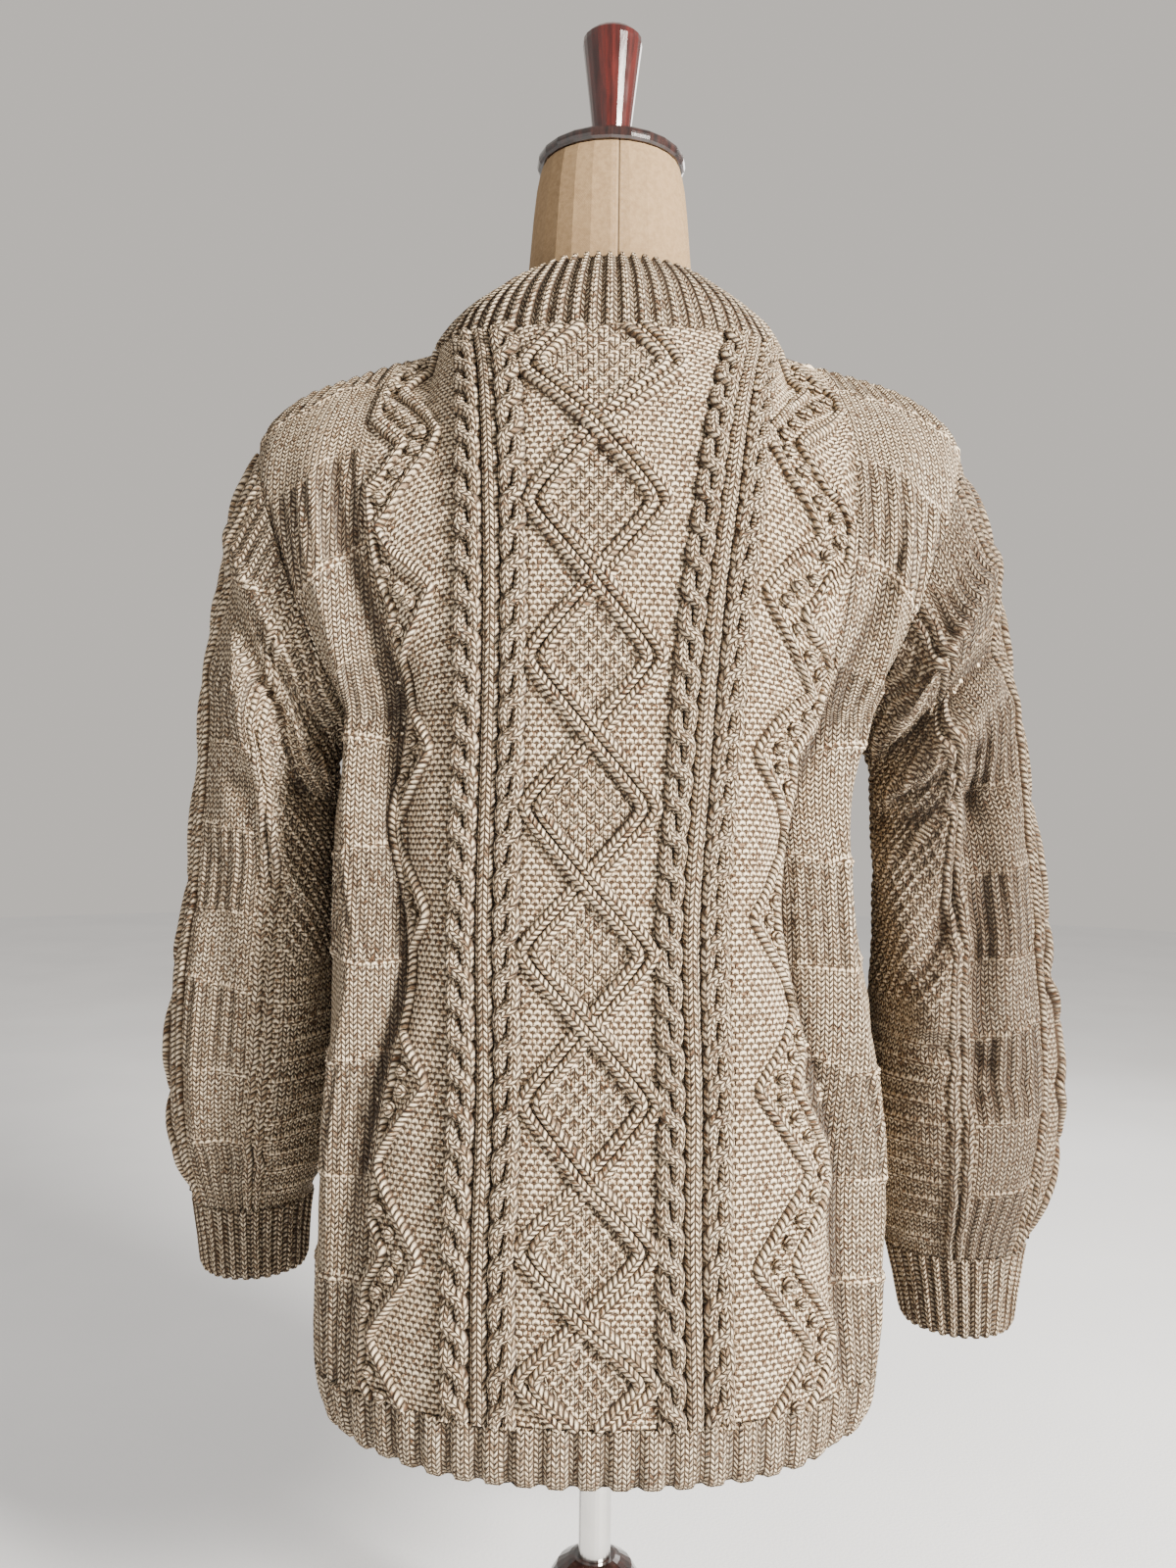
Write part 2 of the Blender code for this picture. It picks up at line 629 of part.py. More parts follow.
def form_object(material):
    """The dress form's body and neck: a coarse cage of ovals, smoothed."""
    shape = bmesh.new()
    crease = shape.edges.layers.float.new("crease_edge")
    rings = []
    for height in FORM.columns[0]:
        ring = []
        for i in range(FORM_AROUND):
            angle = 2 * math.pi * i / FORM_AROUND
            across = math.copysign(abs(math.sin(angle)) ** (2 / FORM_ROUNDNESS), math.sin(angle))
            deep = math.copysign(abs(math.cos(angle)) ** (2 / FORM_ROUNDNESS), -math.cos(angle))
            reach = FORM.at(height, "back" if deep < 0 else "front")
            y = FORM.at(height, "middle") + deep * reach
            ring.append(shape.verts.new((across * FORM.at(height, "half_width"), y, height)))
        rings.append(ring)
    for low, high in zip(rings, rings[1:]):
        for i in range(FORM_AROUND):
            k = (i + 1) % FORM_AROUND
            shape.faces.new((low[i], low[k], high[k], high[i]))
    for end in (rings[0], rings[-1]):
        cap = shape.faces.new(end)
        for edge in cap.edges:
            edge[crease] = 1.0
    bmesh.ops.recalc_face_normals(shape, faces=shape.faces)
    mesh = bpy.data.meshes.new("form")
    shape.to_mesh(mesh)
    shape.free()
    mesh.shade_smooth()
    piece = place_object("form", mesh, material)
    smooth = piece.modifiers.new("smooth", "SUBSURF")
    smooth.levels = smooth.render_levels = 1
    return piece


def make_material(name, colour, roughness, metallic=0.0):
    material = bpy.data.materials.new(name)
    material.use_nodes = True
    shader = material.node_tree.nodes["Principled BSDF"]
    shader.inputs["Base Color"].default_value = (*colour, 1.0)
    shader.inputs["Roughness"].default_value = roughness
    shader.inputs["Metallic"].default_value = metallic
    return material


def make_sweater():
    yarn = make_material("oatmeal_wool", (0.50, 0.42, 0.33), 0.95)
    left = (LEFT_SLEEVE, LEFT_SLEEVE_FOLDS, -1.0)
    right = (RIGHT_SLEEVE, RIGHT_SLEEVE_FOLDS, 1.0)
    skins = {
        "back": Skin(panel_skin("back"), seams="bottom top left right"),
        "front": Skin(panel_skin("front"), seams="bottom top left right"),
        "back_welt": Skin(welt_skin("back"), seams="top left right"),
        "front_welt": Skin(welt_skin("front"), seams="top left right"),
        "sleeve_left": Skin(sleeve_skin(*left), closed=True, seams="bottom top"),
        "sleeve_right": Skin(sleeve_skin(*right), closed=True, seams="bottom top"),
        "cuff_left": Skin(cuff_skin(*left), closed=True, seams="bottom"),
        "cuff_right": Skin(cuff_skin(*right), closed=True, seams="bottom"),
        "neckband": Skin(neckband_skin(), thickness=BAND_WALL, closed=True, seams="bottom"),
    }
    middles = {name: skin.points.mean(axis=(0, 1)) for name, skin in skins.items()}
    for name in ("back", "front", "back_welt", "front_welt"):
        middles[name] = (0.0, 0.0, middles[name][2])
    face_outward(skins, middles)
    share_seam_normals(skins)
    for name, skin in skins.items():
        wall_object(name, skin, yarn)


def make_form():
    linen = make_material("linen", (0.62, 0.53, 0.42), 0.9)
    dark = make_material("dark_wood", (0.030, 0.012, 0.009), 0.15)
    red = make_material("red_wood", (0.110, 0.012, 0.008), 0.15)
    steel = make_material("steel", (0.62, 0.61, 0.59), 0.25, 1.0)
    form_object(linen)
    cap_bottom = NECK_TOP + SEAM_GAP
    cap_top = cap_bottom + CAP_THICKNESS
    turned_object("neck_cap", rounded_disc(CAP_RADIUS, cap_top, cap_bottom, 0.004), dark, NECK_CENTRE)
    low = cap_top + SEAM_GAP
    high = low + FINIAL_HEIGHT
    finial = [
        (0.0, high),
        (0.012, high - 0.0006),
        (0.0185, high - 0.0024),
        (0.0212, high - 0.0052),
        (0.0214, high - 0.009),
        (0.0188, high - 0.030),
        (0.0158, high - 0.055),
        (0.0134, high - 0.076),
        (0.0126, low + 0.005),
        (0.0130, low),
        (0.0, low),
    ]
    turned_object("finial", finial, red, NECK_CENTRE)
    pole_low = HUB_TOP + SEAM_GAP
    pole_high = FORM.columns[0][0] - SEAM_GAP
    bpy.ops.mesh.primitive_cylinder_add(
        vertices=TURNED_STEPS,
        radius=POLE_RADIUS,
        depth=pole_high - pole_low,
        location=(0.0, 0.0, (pole_high + pole_low) / 2),
    )
    pole = bpy.context.object
    pole.name = pole.data.name = "pole"
    pole.data.materials.append(steel)
    pole.data.shade_smooth()
    pole.data.set_sharp_from_angle(angle=math.radians(40))
    for owner in list(pole.users_collection):
        owner.objects.unlink(pole)
    bpy.data.collections[COLLECTION].objects.link(pole)
    hub_low = BASE_THICKNESS + SEAM_GAP
    hub = [
        (0.0, HUB_TOP),
        (0.0150, HUB_TOP),
        (0.0185, HUB_TOP - 0.0015),
        (0.0270, HUB_TOP - 0.0070),
        (0.0320, HUB_TOP - 0.0150),
        (0.0332, HUB_TOP - 0.0230),
        (0.0305, HUB_TOP - 0.0310),
        (0.0230, HUB_TOP - 0.0370),
        (0.0205, HUB_TOP - 0.0440),
        (0.0220, HUB_TOP - 0.0620),
        (0.0280, HUB_TOP - 0.0820),
        (0.0400, HUB_TOP - 0.0980),
        (0.0500, hub_low + 0.0120),
        (0.0520, hub_low + 0.0070),
        (0.0520, hub_low),
        (0.0, hub_low),
    ]
    turned_object("hub", hub, dark)
    turned_object("base", rounded_disc(BASE_RADIUS, BASE_THICKNESS, 0.0, 0.008), dark)


def main():
    for old in list(bpy.data.objects):
        bpy.data.objects.remove(old, do_unlink=True)
    parts = bpy.data.collections.new(COLLECTION)
    bpy.context.scene.collection.children.link(parts)
    make_sweater()
    make_form()


main()
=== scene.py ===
"""The looks of the cable knit sweater on its dress form.

Each knitted piece is a thin shell on its CAD solid's form, with its ribs, moss and purl ground in relief.
The cables, zigzags and bobbles are laid over it as strands that cross over and under each other. The
single stitches are bump and colour, worked out from a map that counts wales across and rows up. Their
colour has painted shadow in the gaps between stitches, and painted shade in creases and beside strands.
"""

import math

import bpy
import numpy as np
from mathutils import Matrix, Vector


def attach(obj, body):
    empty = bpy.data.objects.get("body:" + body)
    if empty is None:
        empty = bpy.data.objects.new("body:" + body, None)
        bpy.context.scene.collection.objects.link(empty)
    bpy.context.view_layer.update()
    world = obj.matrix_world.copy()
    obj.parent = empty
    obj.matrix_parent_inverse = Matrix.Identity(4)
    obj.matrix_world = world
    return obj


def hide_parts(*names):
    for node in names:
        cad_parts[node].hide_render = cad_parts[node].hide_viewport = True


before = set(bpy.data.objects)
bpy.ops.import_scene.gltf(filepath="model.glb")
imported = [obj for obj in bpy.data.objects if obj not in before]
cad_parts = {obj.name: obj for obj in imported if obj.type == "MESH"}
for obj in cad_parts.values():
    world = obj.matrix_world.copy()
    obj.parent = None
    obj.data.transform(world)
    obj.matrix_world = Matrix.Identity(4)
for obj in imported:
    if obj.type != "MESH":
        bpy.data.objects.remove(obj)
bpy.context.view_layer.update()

WALE = 0.0053  # one stitch across
ROW = 0.0036  # one row of stitches up
WALL = 0.0036  # from the solids' outer face to the shell's inner face
GROUND = -0.0010  # how far the plain ground lies under the solids' outer face
STEP = 0.00215  # spacing of the cloth's points
INNER_STRIDE = 4  # the inner face keeps one point in so many
HOLLOW_REACH = 4  # how many points away the cloth round a point is measured

ROUNDNESS = 2.3  # exponent of the body's oval sections

HEM = 0.266
WELT_TOP = 0.305
UNDERARM = 0.735
SHOULDER_TIP = (0.245, 0.924)  # x and z where the shoulder seam meets the sleeve
UNDERARM_X = 0.177
NECK_POINT = (0.122, -0.004, 0.999)  # where shoulder seam and neckband meet
SHOULDER_SLOPE = 0.475  # share of the seam's fall that is a straight slope; the rest rounds the tip
ARMHOLE_BACK = 0.080  # how far the armhole bows behind the line from the underarm to the shoulder
ARMHOLE_FRONT = 0.074
NECK_SHARE = 0.51  # share of a half row, from the centre, that lies inside the neckband at the top

SIDE_FADE = 0.12  # the long folds die out over these shares of a row and of the yoke
TOP_FADE = 0.25
ROLL_STEEP = 0.68  # share of a roll's reach on its inner side, and on its outer side
ROLL_EASY = 1.1
VALLEY_SHIFT = 0.007  # how much closer to its roll a valley lies than its table says

BAND_HALF_WIDTH = 0.083
BAND_HALF_DEPTH = 0.072
BAND_CENTRE = 0.010
BAND_TOP = {"back": 1.048, "side": 1.034, "front": 0.988}
BAND_BULGE = 0.006  # how far the band's middle stands out from a straight slope

SLEEVE_LENGTH = 0.55
SLEEVE_GIRTH = 0.42

# Spans of cloth that the grids of points are made for.
PANEL_WIDTH = 0.53
YOKE_SPAN = 0.25
SLEEVE_SPAN = 0.50
SLEEVE_ROUND = 0.44
CUFF_SPAN = 0.055

CREASE_SHARE = 0.6  # how much more the valleys beside the long rolls are drawn in, as a crease
CREASE_REACH = 0.006
FOLD_LEAN = 0.0055  # how far the flank of a deep fold leans over its valley
DEEP_VALLEY = -0.009
# FOLD_SHADE is the strength of the painted shade in creases.
FOLD_SHADE = 0.85  # how dark the creases are
ROLL_REACH = 0.030  # from a long roll's crest to where its ladder strip begins


class Table:
    """Rows of named columns, read on a smooth curve at any value of the first column."""

    def __init__(self, names, *rows):
        self.names = names.split()
        self.columns = np.array(rows, dtype=float).T

    def at(self, place, name):
        x = self.columns[0]
        y = self.columns[self.names.index(name)]
        slope = np.gradient(y, x)
        place = np.clip(place, x[0], x[-1])
        i = np.clip(np.searchsorted(x, place) - 1, 0, len(x) - 2)
        step = x[i + 1] - x[i]
        t = (place - x[i]) / step
        start = (1 + 2 * t) * (1 - t) ** 2 * y[i] + t * (1 - t) ** 2 * step * slope[i]
        end = t**2 * (3 - 2 * t) * y[i + 1] + t**2 * (t - 1) * step * slope[i + 1]
        return start + end


# The body's outer face below the underarm, as distances from the axis.
BODY = Table(
    "height left right back front",
    (HEM, 0.187, 0.183, 0.145, 0.136),
    (0.283, 0.193, 0.189, 0.150, 0.141),
    (WELT_TOP, 0.197, 0.192, 0.150, 0.142),
    (0.36, 0.197, 0.192, 0.148, 0.143),
    (0.45, 0.193, 0.192, 0.138, 0.138),
    (0.55, 0.190, 0.187, 0.124, 0.133),
    (0.62, 0.190, 0.171, 0.118, 0.135),
    (0.69, 0.187, 0.164, 0.119, 0.141),
    (UNDERARM, UNDERARM_X, UNDERARM_X, 0.122, 0.143),
)

# The centre lines above the underarm, and how far round a half row turns by its side end.
YOKE_BACK = Table(
    "place height depth turn",
    (0.0, UNDERARM, 0.122, 90.0),
    (0.25, 0.802, 0.126, 76.0),
    (0.5, 0.870, 0.123, 67.0),
    (0.75, 0.934, 0.111, 62.0),
    (1.0, 0.992, 0.085, 60.0),
)
YOKE_FRONT = Table(
    "place height depth turn",
    (0.0, UNDERARM, 0.143, 90.0),
    (0.25, 0.788, 0.145, 78.0),
    (0.5, 0.838, 0.140, 70.0),
    (0.75, 0.884, 0.128, 64.0),
    (1.0, 0.928, 0.109, 60.0),
)

# Long soft folds down the panels: across is measured on the cloth from the centre line, rise is how
# far the fold stands out (or sinks, below zero) and reach is its half width.
FOLD_COLUMNS = "height across rise reach"
BACK_LEFT_FOLDS = (
    Table(
        FOLD_COLUMNS,
        (0.27, 0.190, 0.002, 0.024),
        (0.38, 0.188, 0.010, 0.024),
        (0.49, 0.178, 0.015, 0.023),
        (0.57, 0.160, 0.017, 0.022),
        (0.66, 0.164, 0.017, 0.022),
        (0.755, 0.168, 0.017, 0.021),
        (0.84, 0.186, 0.012, 0.019),
        (0.92, 0.196, 0.004, 0.018),
    ),
    Table(
        FOLD_COLUMNS,
        (0.30, 0.160, 0.000, 0.015),
        (0.41, 0.158, -0.003, 0.015),
        (0.49, 0.145, -0.006, 0.015),
        (0.58, 0.124, -0.009, 0.015),
        (0.66, 0.130, -0.009, 0.015),
        (0.766, 0.138, -0.008, 0.015),
        (0.865, 0.164, -0.006, 0.015),
        (0.93, 0.176, 0.000, 0.015),
    ),
)
BACK_RIGHT_FOLDS = (
    Table(
        FOLD_COLUMNS,
        (0.27, 0.196, 0.002, 0.024),
        (0.365, 0.198, 0.012, 0.023),
        (0.445, 0.194, 0.015, 0.023),
        (0.53, 0.170, 0.017, 0.022),
        (0.612, 0.158, 0.017, 0.022),
        (0.68, 0.168, 0.017, 0.022),
        (0.76, 0.186, 0.014, 0.020),
        (0.84, 0.192, 0.010, 0.018),
        (0.92, 0.198, 0.002, 0.018),
    ),
    Table(
        FOLD_COLUMNS,
        (0.30, 0.158, -0.002, 0.015),
        (0.365, 0.162, -0.006, 0.015),
        (0.445, 0.158, -0.008, 0.015),
        (0.53, 0.132, -0.009, 0.015),
        (0.612, 0.116, -0.010, 0.015),
        (0.68, 0.130, -0.009, 0.015),
        (0.741, 0.152, -0.007, 0.015),
        (0.81, 0.168, -0.006, 0.015),
        (0.90, 0.184, 0.000, 0.015),
    ),
)
FRONT_LEFT_FOLDS = (
    Table(
        FOLD_COLUMNS,
        (0.27, 0.176, 0.002, 0.024),
        (0.40, 0.182, 0.010, 0.024),
        (0.55, 0.168, 0.013, 0.022),
        (0.70, 0.182, 0.012, 0.022),
        (0.84, 0.196, 0.004, 0.020),
    ),
    Table(
        FOLD_COLUMNS,
        (0.30, 0.146, 0.000, 0.015),
        (0.42, 0.148, -0.005, 0.015),
        (0.56, 0.132, -0.008, 0.015),
        (0.70, 0.148, -0.006, 0.015),
        (0.82, 0.168, 0.000, 0.015),
    ),
)
FRONT_RIGHT_FOLDS = (
    Table(
        FOLD_COLUMNS,
        (0.27, 0.190, 0.001, 0.024),
        (0.38, 0.192, 0.009, 0.023),
        (0.52, 0.180, 0.014, 0.022),
        (0.66, 0.176, 0.014, 0.022),
        (0.80, 0.194, 0.005, 0.020),
    ),
    Table(
        FOLD_COLUMNS,
        (0.30, 0.156, 0.000, 0.015),
        (0.40, 0.158, -0.004, 0.015),
        (0.52, 0.146, -0.008, 0.015),
        (0.66, 0.142, -0.008, 0.015),
        (0.78, 0.164, 0.000, 0.015),
    ),
)
FOLDS = {
    "back": (BACK_LEFT_FOLDS, BACK_RIGHT_FOLDS),
    "front": (FRONT_LEFT_FOLDS, FRONT_RIGHT_FOLDS),
}

# Sleeve sections from the armhole down: the outer and inner edge of each ring, its middle in depth,
# and its half depths. The last rows belong to the cuff.
SLEEVE_COLUMNS = "along outer_x outer_z inner_x inner_z middle back front"
LEFT_SLEEVE = Table(
    SLEEVE_COLUMNS,
    (0.00, 0.245, 0.924, UNDERARM_X, UNDERARM, 0.000, ARMHOLE_BACK, ARMHOLE_FRONT),
    (0.09, 0.264, 0.885, 0.188, 0.717, 0.003, 0.080, 0.075),
    (0.19, 0.276, 0.827, 0.194, 0.694, 0.010, 0.078, 0.075),
    (0.31, 0.289, 0.758, 0.195, 0.657, 0.021, 0.075, 0.074),
    (0.44, 0.299, 0.685, 0.193, 0.612, 0.033, 0.073, 0.072),
    (0.57, 0.308, 0.610, 0.192, 0.561, 0.042, 0.072, 0.071),
    (0.69, 0.317, 0.540, 0.193, 0.507, 0.048, 0.071, 0.071),
    (0.80, 0.321, 0.477, 0.197, 0.456, 0.051, 0.067, 0.067),
    (0.91, 0.317, 0.420, 0.206, 0.410, 0.052, 0.057, 0.057),
    (1.00, 0.306, 0.379, 0.219, 0.379, 0.052, 0.044, 0.044),
    (1.05, 0.302, 0.354, 0.222, 0.354, 0.052, 0.041, 0.041),
    (1.10, 0.299, 0.327, 0.223, 0.327, 0.052, 0.040, 0.040),
)
RIGHT_SLEEVE = Table(
    SLEEVE_COLUMNS,
    (0.00, 0.245, 0.924, UNDERARM_X, UNDERARM, 0.000, ARMHOLE_BACK, ARMHOLE_FRONT),
    (0.09, 0.263, 0.883, 0.188, 0.716, 0.002, 0.080, 0.075),
    (0.19, 0.278, 0.821, 0.194, 0.690, 0.007, 0.078, 0.075),
    (0.31, 0.293, 0.750, 0.197, 0.648, 0.014, 0.074, 0.073),
    (0.44, 0.309, 0.676, 0.198, 0.598, 0.022, 0.072, 0.072),
    (0.57, 0.323, 0.602, 0.198, 0.544, 0.029, 0.072, 0.072),
    (0.69, 0.334, 0.528, 0.198, 0.490, 0.034, 0.073, 0.073),
    (0.80, 0.339, 0.464, 0.199, 0.440, 0.037, 0.070, 0.070),
    (0.91, 0.332, 0.404, 0.205, 0.392, 0.038, 0.059, 0.059),
    (1.00, 0.315, 0.358, 0.215, 0.356, 0.038, 0.044, 0.044),
    (1.05, 0.310, 0.330, 0.222, 0.329, 0.038, 0.041, 0.041),
    (1.10, 0.306, 0.299, 0.228, 0.299, 0.038, 0.039, 0.039),
)

# Folds on a sleeve, each a straight run over the cloth: from and to are places along the sleeve and
# degrees round it (0 under the arm, 90 at the back, 180 outside), rise and reach as on the body.
SLEEVE_FOLD_COLUMNS = "number along_from around_from along_to around_to rise reach"
LEFT_SLEEVE_FOLDS = Table(
    SLEEVE_FOLD_COLUMNS,
    (1, 0.10, 30.0, 0.16, 150.0, -0.006, 0.016),
    (2, 0.17, 20.0, 0.27, 130.0, 0.006, 0.018),
    (3, 0.26, 10.0, 0.36, 100.0, -0.006, 0.014),
    (4, 0.44, 40.0, 0.86, 66.0, 0.005, 0.020),
    (5, 0.50, 110.0, 0.90, 96.0, -0.005, 0.016),
    (6, 0.52, 300.0, 0.60, 220.0, -0.005, 0.016),
    (7, 0.16, 335.0, 0.22, 230.0, -0.005, 0.018),
    (8, 0.66, 150.0, 0.95, 175.0, 0.004, 0.020),
)
RIGHT_SLEEVE_FOLDS = Table(
    SLEEVE_FOLD_COLUMNS,
    (1, 0.08, 30.0, 0.13, 140.0, 0.006, 0.016),
    (2, 0.14, 26.0, 0.21, 140.0, -0.008, 0.013),
    (3, 0.20, 20.0, 0.29, 130.0, 0.008, 0.015),
    (4, 0.27, 14.0, 0.36, 110.0, -0.008, 0.013),
    (5, 0.30, 20.0, 0.62, 60.0, 0.011, 0.018),
    (6, 0.34, 96.0, 0.74, 84.0, -0.011, 0.015),
    (7, 0.60, 150.0, 0.94, 130.0, -0.005, 0.017),
    (8, 0.50, 310.0, 0.60, 220.0, -0.005, 0.016),
    (9, 0.15, 335.0, 0.24, 235.0, -0.005, 0.018),
)


def smooth(low, high, value):
    t = np.clip((value - low) / (high - low), 0.0, 1.0)
    return t * t * (3.0 - 2.0 * t)


def inside(value, low, high, soft=0.0012):
    """1 between low and high, 0 outside, with soft edges."""
    return smooth(low - soft, low + soft, value) * (1.0 - smooth(high - soft, high + soft, value))


def hump(value, centre, width):
    return np.exp(-(((value - centre) / width) ** 2))


def oval(half_width, centre_depth, side_depth, turn, shares):
    """Points from the centre line to the side end of a half row, at shares of its length. Each has
    x, depth and the distance run."""
    angle = np.radians(np.linspace(0.0, turn, 121))
    run_x = np.sin(angle) ** (2 / ROUNDNESS)
    run_y = np.clip(np.cos(angle), 0.0, 1.0) ** (2 / ROUNDNESS)
    x = half_width * run_x / run_x[-1]
    depth = side_depth + (centre_depth - side_depth) * (run_y - run_y[-1]) / (1 - run_y[-1])
    run = np.concatenate(([0.0], np.cumsum(np.hypot(np.diff(x), np.diff(depth)))))
    wanted = np.asarray(shares) * run[-1]
    return np.interp(wanted, run, x), np.interp(wanted, run, depth), wanted


def armhole(place, side_depth):
    """x, depth and height on one half of the armhole, from the underarm (0) to the shoulder tip (1)."""
    tip_x, tip_z = SHOULDER_TIP
    swing = 0.5 - 0.5 * math.cos(math.pi * place)
    x = UNDERARM_X + (tip_x - UNDERARM_X) * swing
    z = UNDERARM + (tip_z - UNDERARM) * swing
    return x, side_depth * math.sin(math.pi * place), z


def top_edge(face, shares):
    """The panel's top edge on the +X side: the neck curve, then the shoulder seam. x, y and z."""
    outward = -1.0 if face == "back" else 1.0
    yoke = YOKE_BACK if face == "back" else YOKE_FRONT
    point_x, point_y, point_z = NECK_POINT
    tip_x, tip_z = SHOULDER_TIP
    angle = np.clip(shares / NECK_SHARE, 0.0, 1.0) * math.pi / 2
    centre_y = outward * yoke.at(1.0, "depth")
    drop = point_z - yoke.at(1.0, "height")
    along = np.clip((shares - NECK_SHARE) / (1.0 - NECK_SHARE), 0.0, 1.0)
    x = point_x * np.sin(angle) + (tip_x - point_x) * along
    y = point_y + (centre_y - point_y) * np.cos(angle) - point_y * along
    fall = 1.0 - (1.0 - SHOULDER_SLOPE * along) * np.sqrt(1.0 - along**8)
    z = point_z - drop * np.cos(angle) ** 1.4 + (tip_z - point_z) * fall
    return np.stack((x, y, z), axis=-1)


def fold_rise(face, side, height, across):
    """How far the long folds move the cloth out at each point of a half row. A roll falls steeply
    on its inner side, and its valley lies close under it."""
    roll, valley = FOLDS[face][0 if side < 0 else 1]
    away = across - roll.at(height, "across")
    reach = roll.at(height, "reach") * np.where(away < 0, ROLL_STEEP, ROLL_EASY)
    rise = roll.at(height, "rise") * np.exp(-((away / reach) ** 2))
    away = across - valley.at(height, "across") - VALLEY_SHIFT
    depth = valley.at(height, "rise")
    rise = rise + depth * np.exp(-((away / valley.at(height, "reach")) ** 2))
    return rise + CREASE_SHARE * depth * hump(away, CREASE_REACH, CREASE_REACH)


def fold_lean(face, side, height, across):
    """How far a fold's inner flank leans over the valley beside it, towards the centre line."""
    roll, valley = FOLDS[face][0 if side < 0 else 1]
    depth = np.clip(valley.at(height, "rise") / DEEP_VALLEY, 0.0, 1.0)
    return FOLD_LEAN * depth * hump(across, roll.at(height, "across") - 0.007, 0.009)


def run_along(points):
    """Distance along a line of points, from its first one."""
    steps = np.linalg.norm(np.diff(points, axis=0), axis=1)
    return np.concatenate(([0.0], np.cumsum(steps)))


def half_row(face, side, shares, level, yoke_place=None):
    """One half of a panel's row, from the centre line to the side end, with its folds. Gives its
    points, their distance across the cloth, and that distance without the cloth the folds take up."""
    outward = -1.0 if face == "back" else 1.0
    if yoke_place is None:
        half_width = BODY.at(level, "left" if side < 0 else "right")
        x, depth, across = oval(half_width, BODY.at(level, face), 0.0, 90.0, shares)
        z = np.full_like(x, level)
    else:
        yoke = YOKE_BACK if face == "back" else YOKE_FRONT
        side_depth = ARMHOLE_BACK if face == "back" else ARMHOLE_FRONT
        end_x, end_depth, end_z = armhole(yoke_place, side_depth)
        centre_z = yoke.at(yoke_place, "height")
        turn = yoke.at(yoke_place, "turn")
        x, depth, across = oval(end_x, yoke.at(yoke_place, "depth"), end_depth, turn, shares)
        z = centre_z + (end_z - centre_z) * shares**2
    row = np.stack((x, outward * depth, z), axis=-1)
    base = across
    if yoke_place is not None:
        tip_x, tip_z = SHOULDER_TIP
        centre_z = yoke.at(1.0, "height")
        x, depth, _ = oval(tip_x, yoke.at(1.0, "depth"), 0.0, yoke.at(1.0, "turn"), shares)
        plain = np.stack((x, outward * depth, centre_z + (tip_z - centre_z) * shares**2), axis=-1)
        row = row + (top_edge(face, shares) - plain) * yoke_place**3
    along = np.gradient(row, axis=0)
    out = np.stack((along[:, 1] * -outward, along[:, 0] * outward), axis=-1)
    out /= np.linalg.norm(out, axis=1, keepdims=True)
    rise = fold_rise(face, side, row[:, 2], across) * np.clip((1.0 - shares) / SIDE_FADE, 0.0, 1.0)
    if yoke_place is not None:
        rise *= min((1.0 - yoke_place) / TOP_FADE, 1.0)
    lean = fold_lean(face, side, row[:, 2], across) * np.clip((1.0 - shares) / SIDE_FADE, 0.0, 1.0)
    plain = row.copy()
    row[:, 0] += out[:, 0] * rise + out[:, 1] * outward * lean
    row[:, 1] += out[:, 1] * rise - out[:, 0] * outward * lean
    across = base + run_along(row) - run_along(plain)
    row[:, 0] *= side
    return row, across, base


# Smaller creases in the sleeves' cloth, placed in the same way as the solids' folds.
LEFT_SLEEVE_CREASES = Table(
    SLEEVE_FOLD_COLUMNS,
    (1, 0.12, 112.0, 0.17, 48.0, 0.0055, 0.0090),
    (2, 0.18, 70.0, 0.28, 44.0, -0.0145, 0.0190),
    (3, 0.20, 106.0, 0.46, 54.0, 0.0070, 0.0105),
    (4, 0.08, 60.0, 0.11, 140.0, 0.0040, 0.0080),
    (5, 0.48, 66.0, 0.80, 84.0, -0.0040, 0.0100),
    (6, 0.60, 128.0, 0.88, 118.0, 0.0040, 0.0120),
    (7, 0.30, 300.0, 0.40, 238.0, -0.0045, 0.0090),
    (8, 0.66, 292.0, 0.90, 270.0, 0.0045, 0.0120),
)
RIGHT_SLEEVE_CREASES = Table(
    SLEEVE_FOLD_COLUMNS,
    (1, 0.10, 60.0, 0.14, 138.0, 0.0050, 0.0085),
    (2, 0.15, 52.0, 0.20, 124.0, -0.0055, 0.0075),
    (3, 0.19, 44.0, 0.25, 118.0, 0.0050, 0.0085),
    (4, 0.24, 36.0, 0.29, 100.0, -0.0060, 0.0075),
    (5, 0.28, 106.0, 0.55, 54.0, -0.0085, 0.0125),
    (6, 0.34, 132.0, 0.62, 96.0, 0.0055, 0.0150),
    (7, 0.66, 60.0, 0.74, 112.0, -0.0040, 0.0090),
    (8, 0.62, 150.0, 0.90, 138.0, -0.0040, 0.0110),
    (9, 0.30, 300.0, 0.42, 236.0, -0.0045, 0.0090),
    (10, 0.64, 250.0, 0.88, 290.0, 0.0045, 0.0120),
)


def on_cloth(along, around):
    """A place on the flat sleeve, in metres down it and round it."""
    return np.stack((along * SLEEVE_LENGTH, around / 360.0 * SLEEVE_GIRTH), axis=-1)


def sleeve_fold_rise(folds, along, around):
    rise = np.zeros_like(around)
    for number in folds.columns[0]:
        start = on_cloth(folds.at(number, "along_from"), folds.at(number, "around_from"))
        run = on_cloth(folds.at(number, "along_to"), folds.at(number, "around_to")) - start
        reach = folds.at(number, "reach")
        for turn in (-360.0, 0.0, 360.0):
            here = on_cloth(np.full_like(around, along), around + turn)
            share = np.clip((here - start) @ run / (run @ run), 0.0, 1.0)
            away = np.linalg.norm(here - start - share[:, None] * run, axis=1)
            rise += folds.at(number, "rise") * np.exp(-((away / reach) ** 2))
    fade = min(along / 0.06, 1.0) * min(max((1.0 - along) / 0.06, 0.0), 1.0)
    return rise * fade


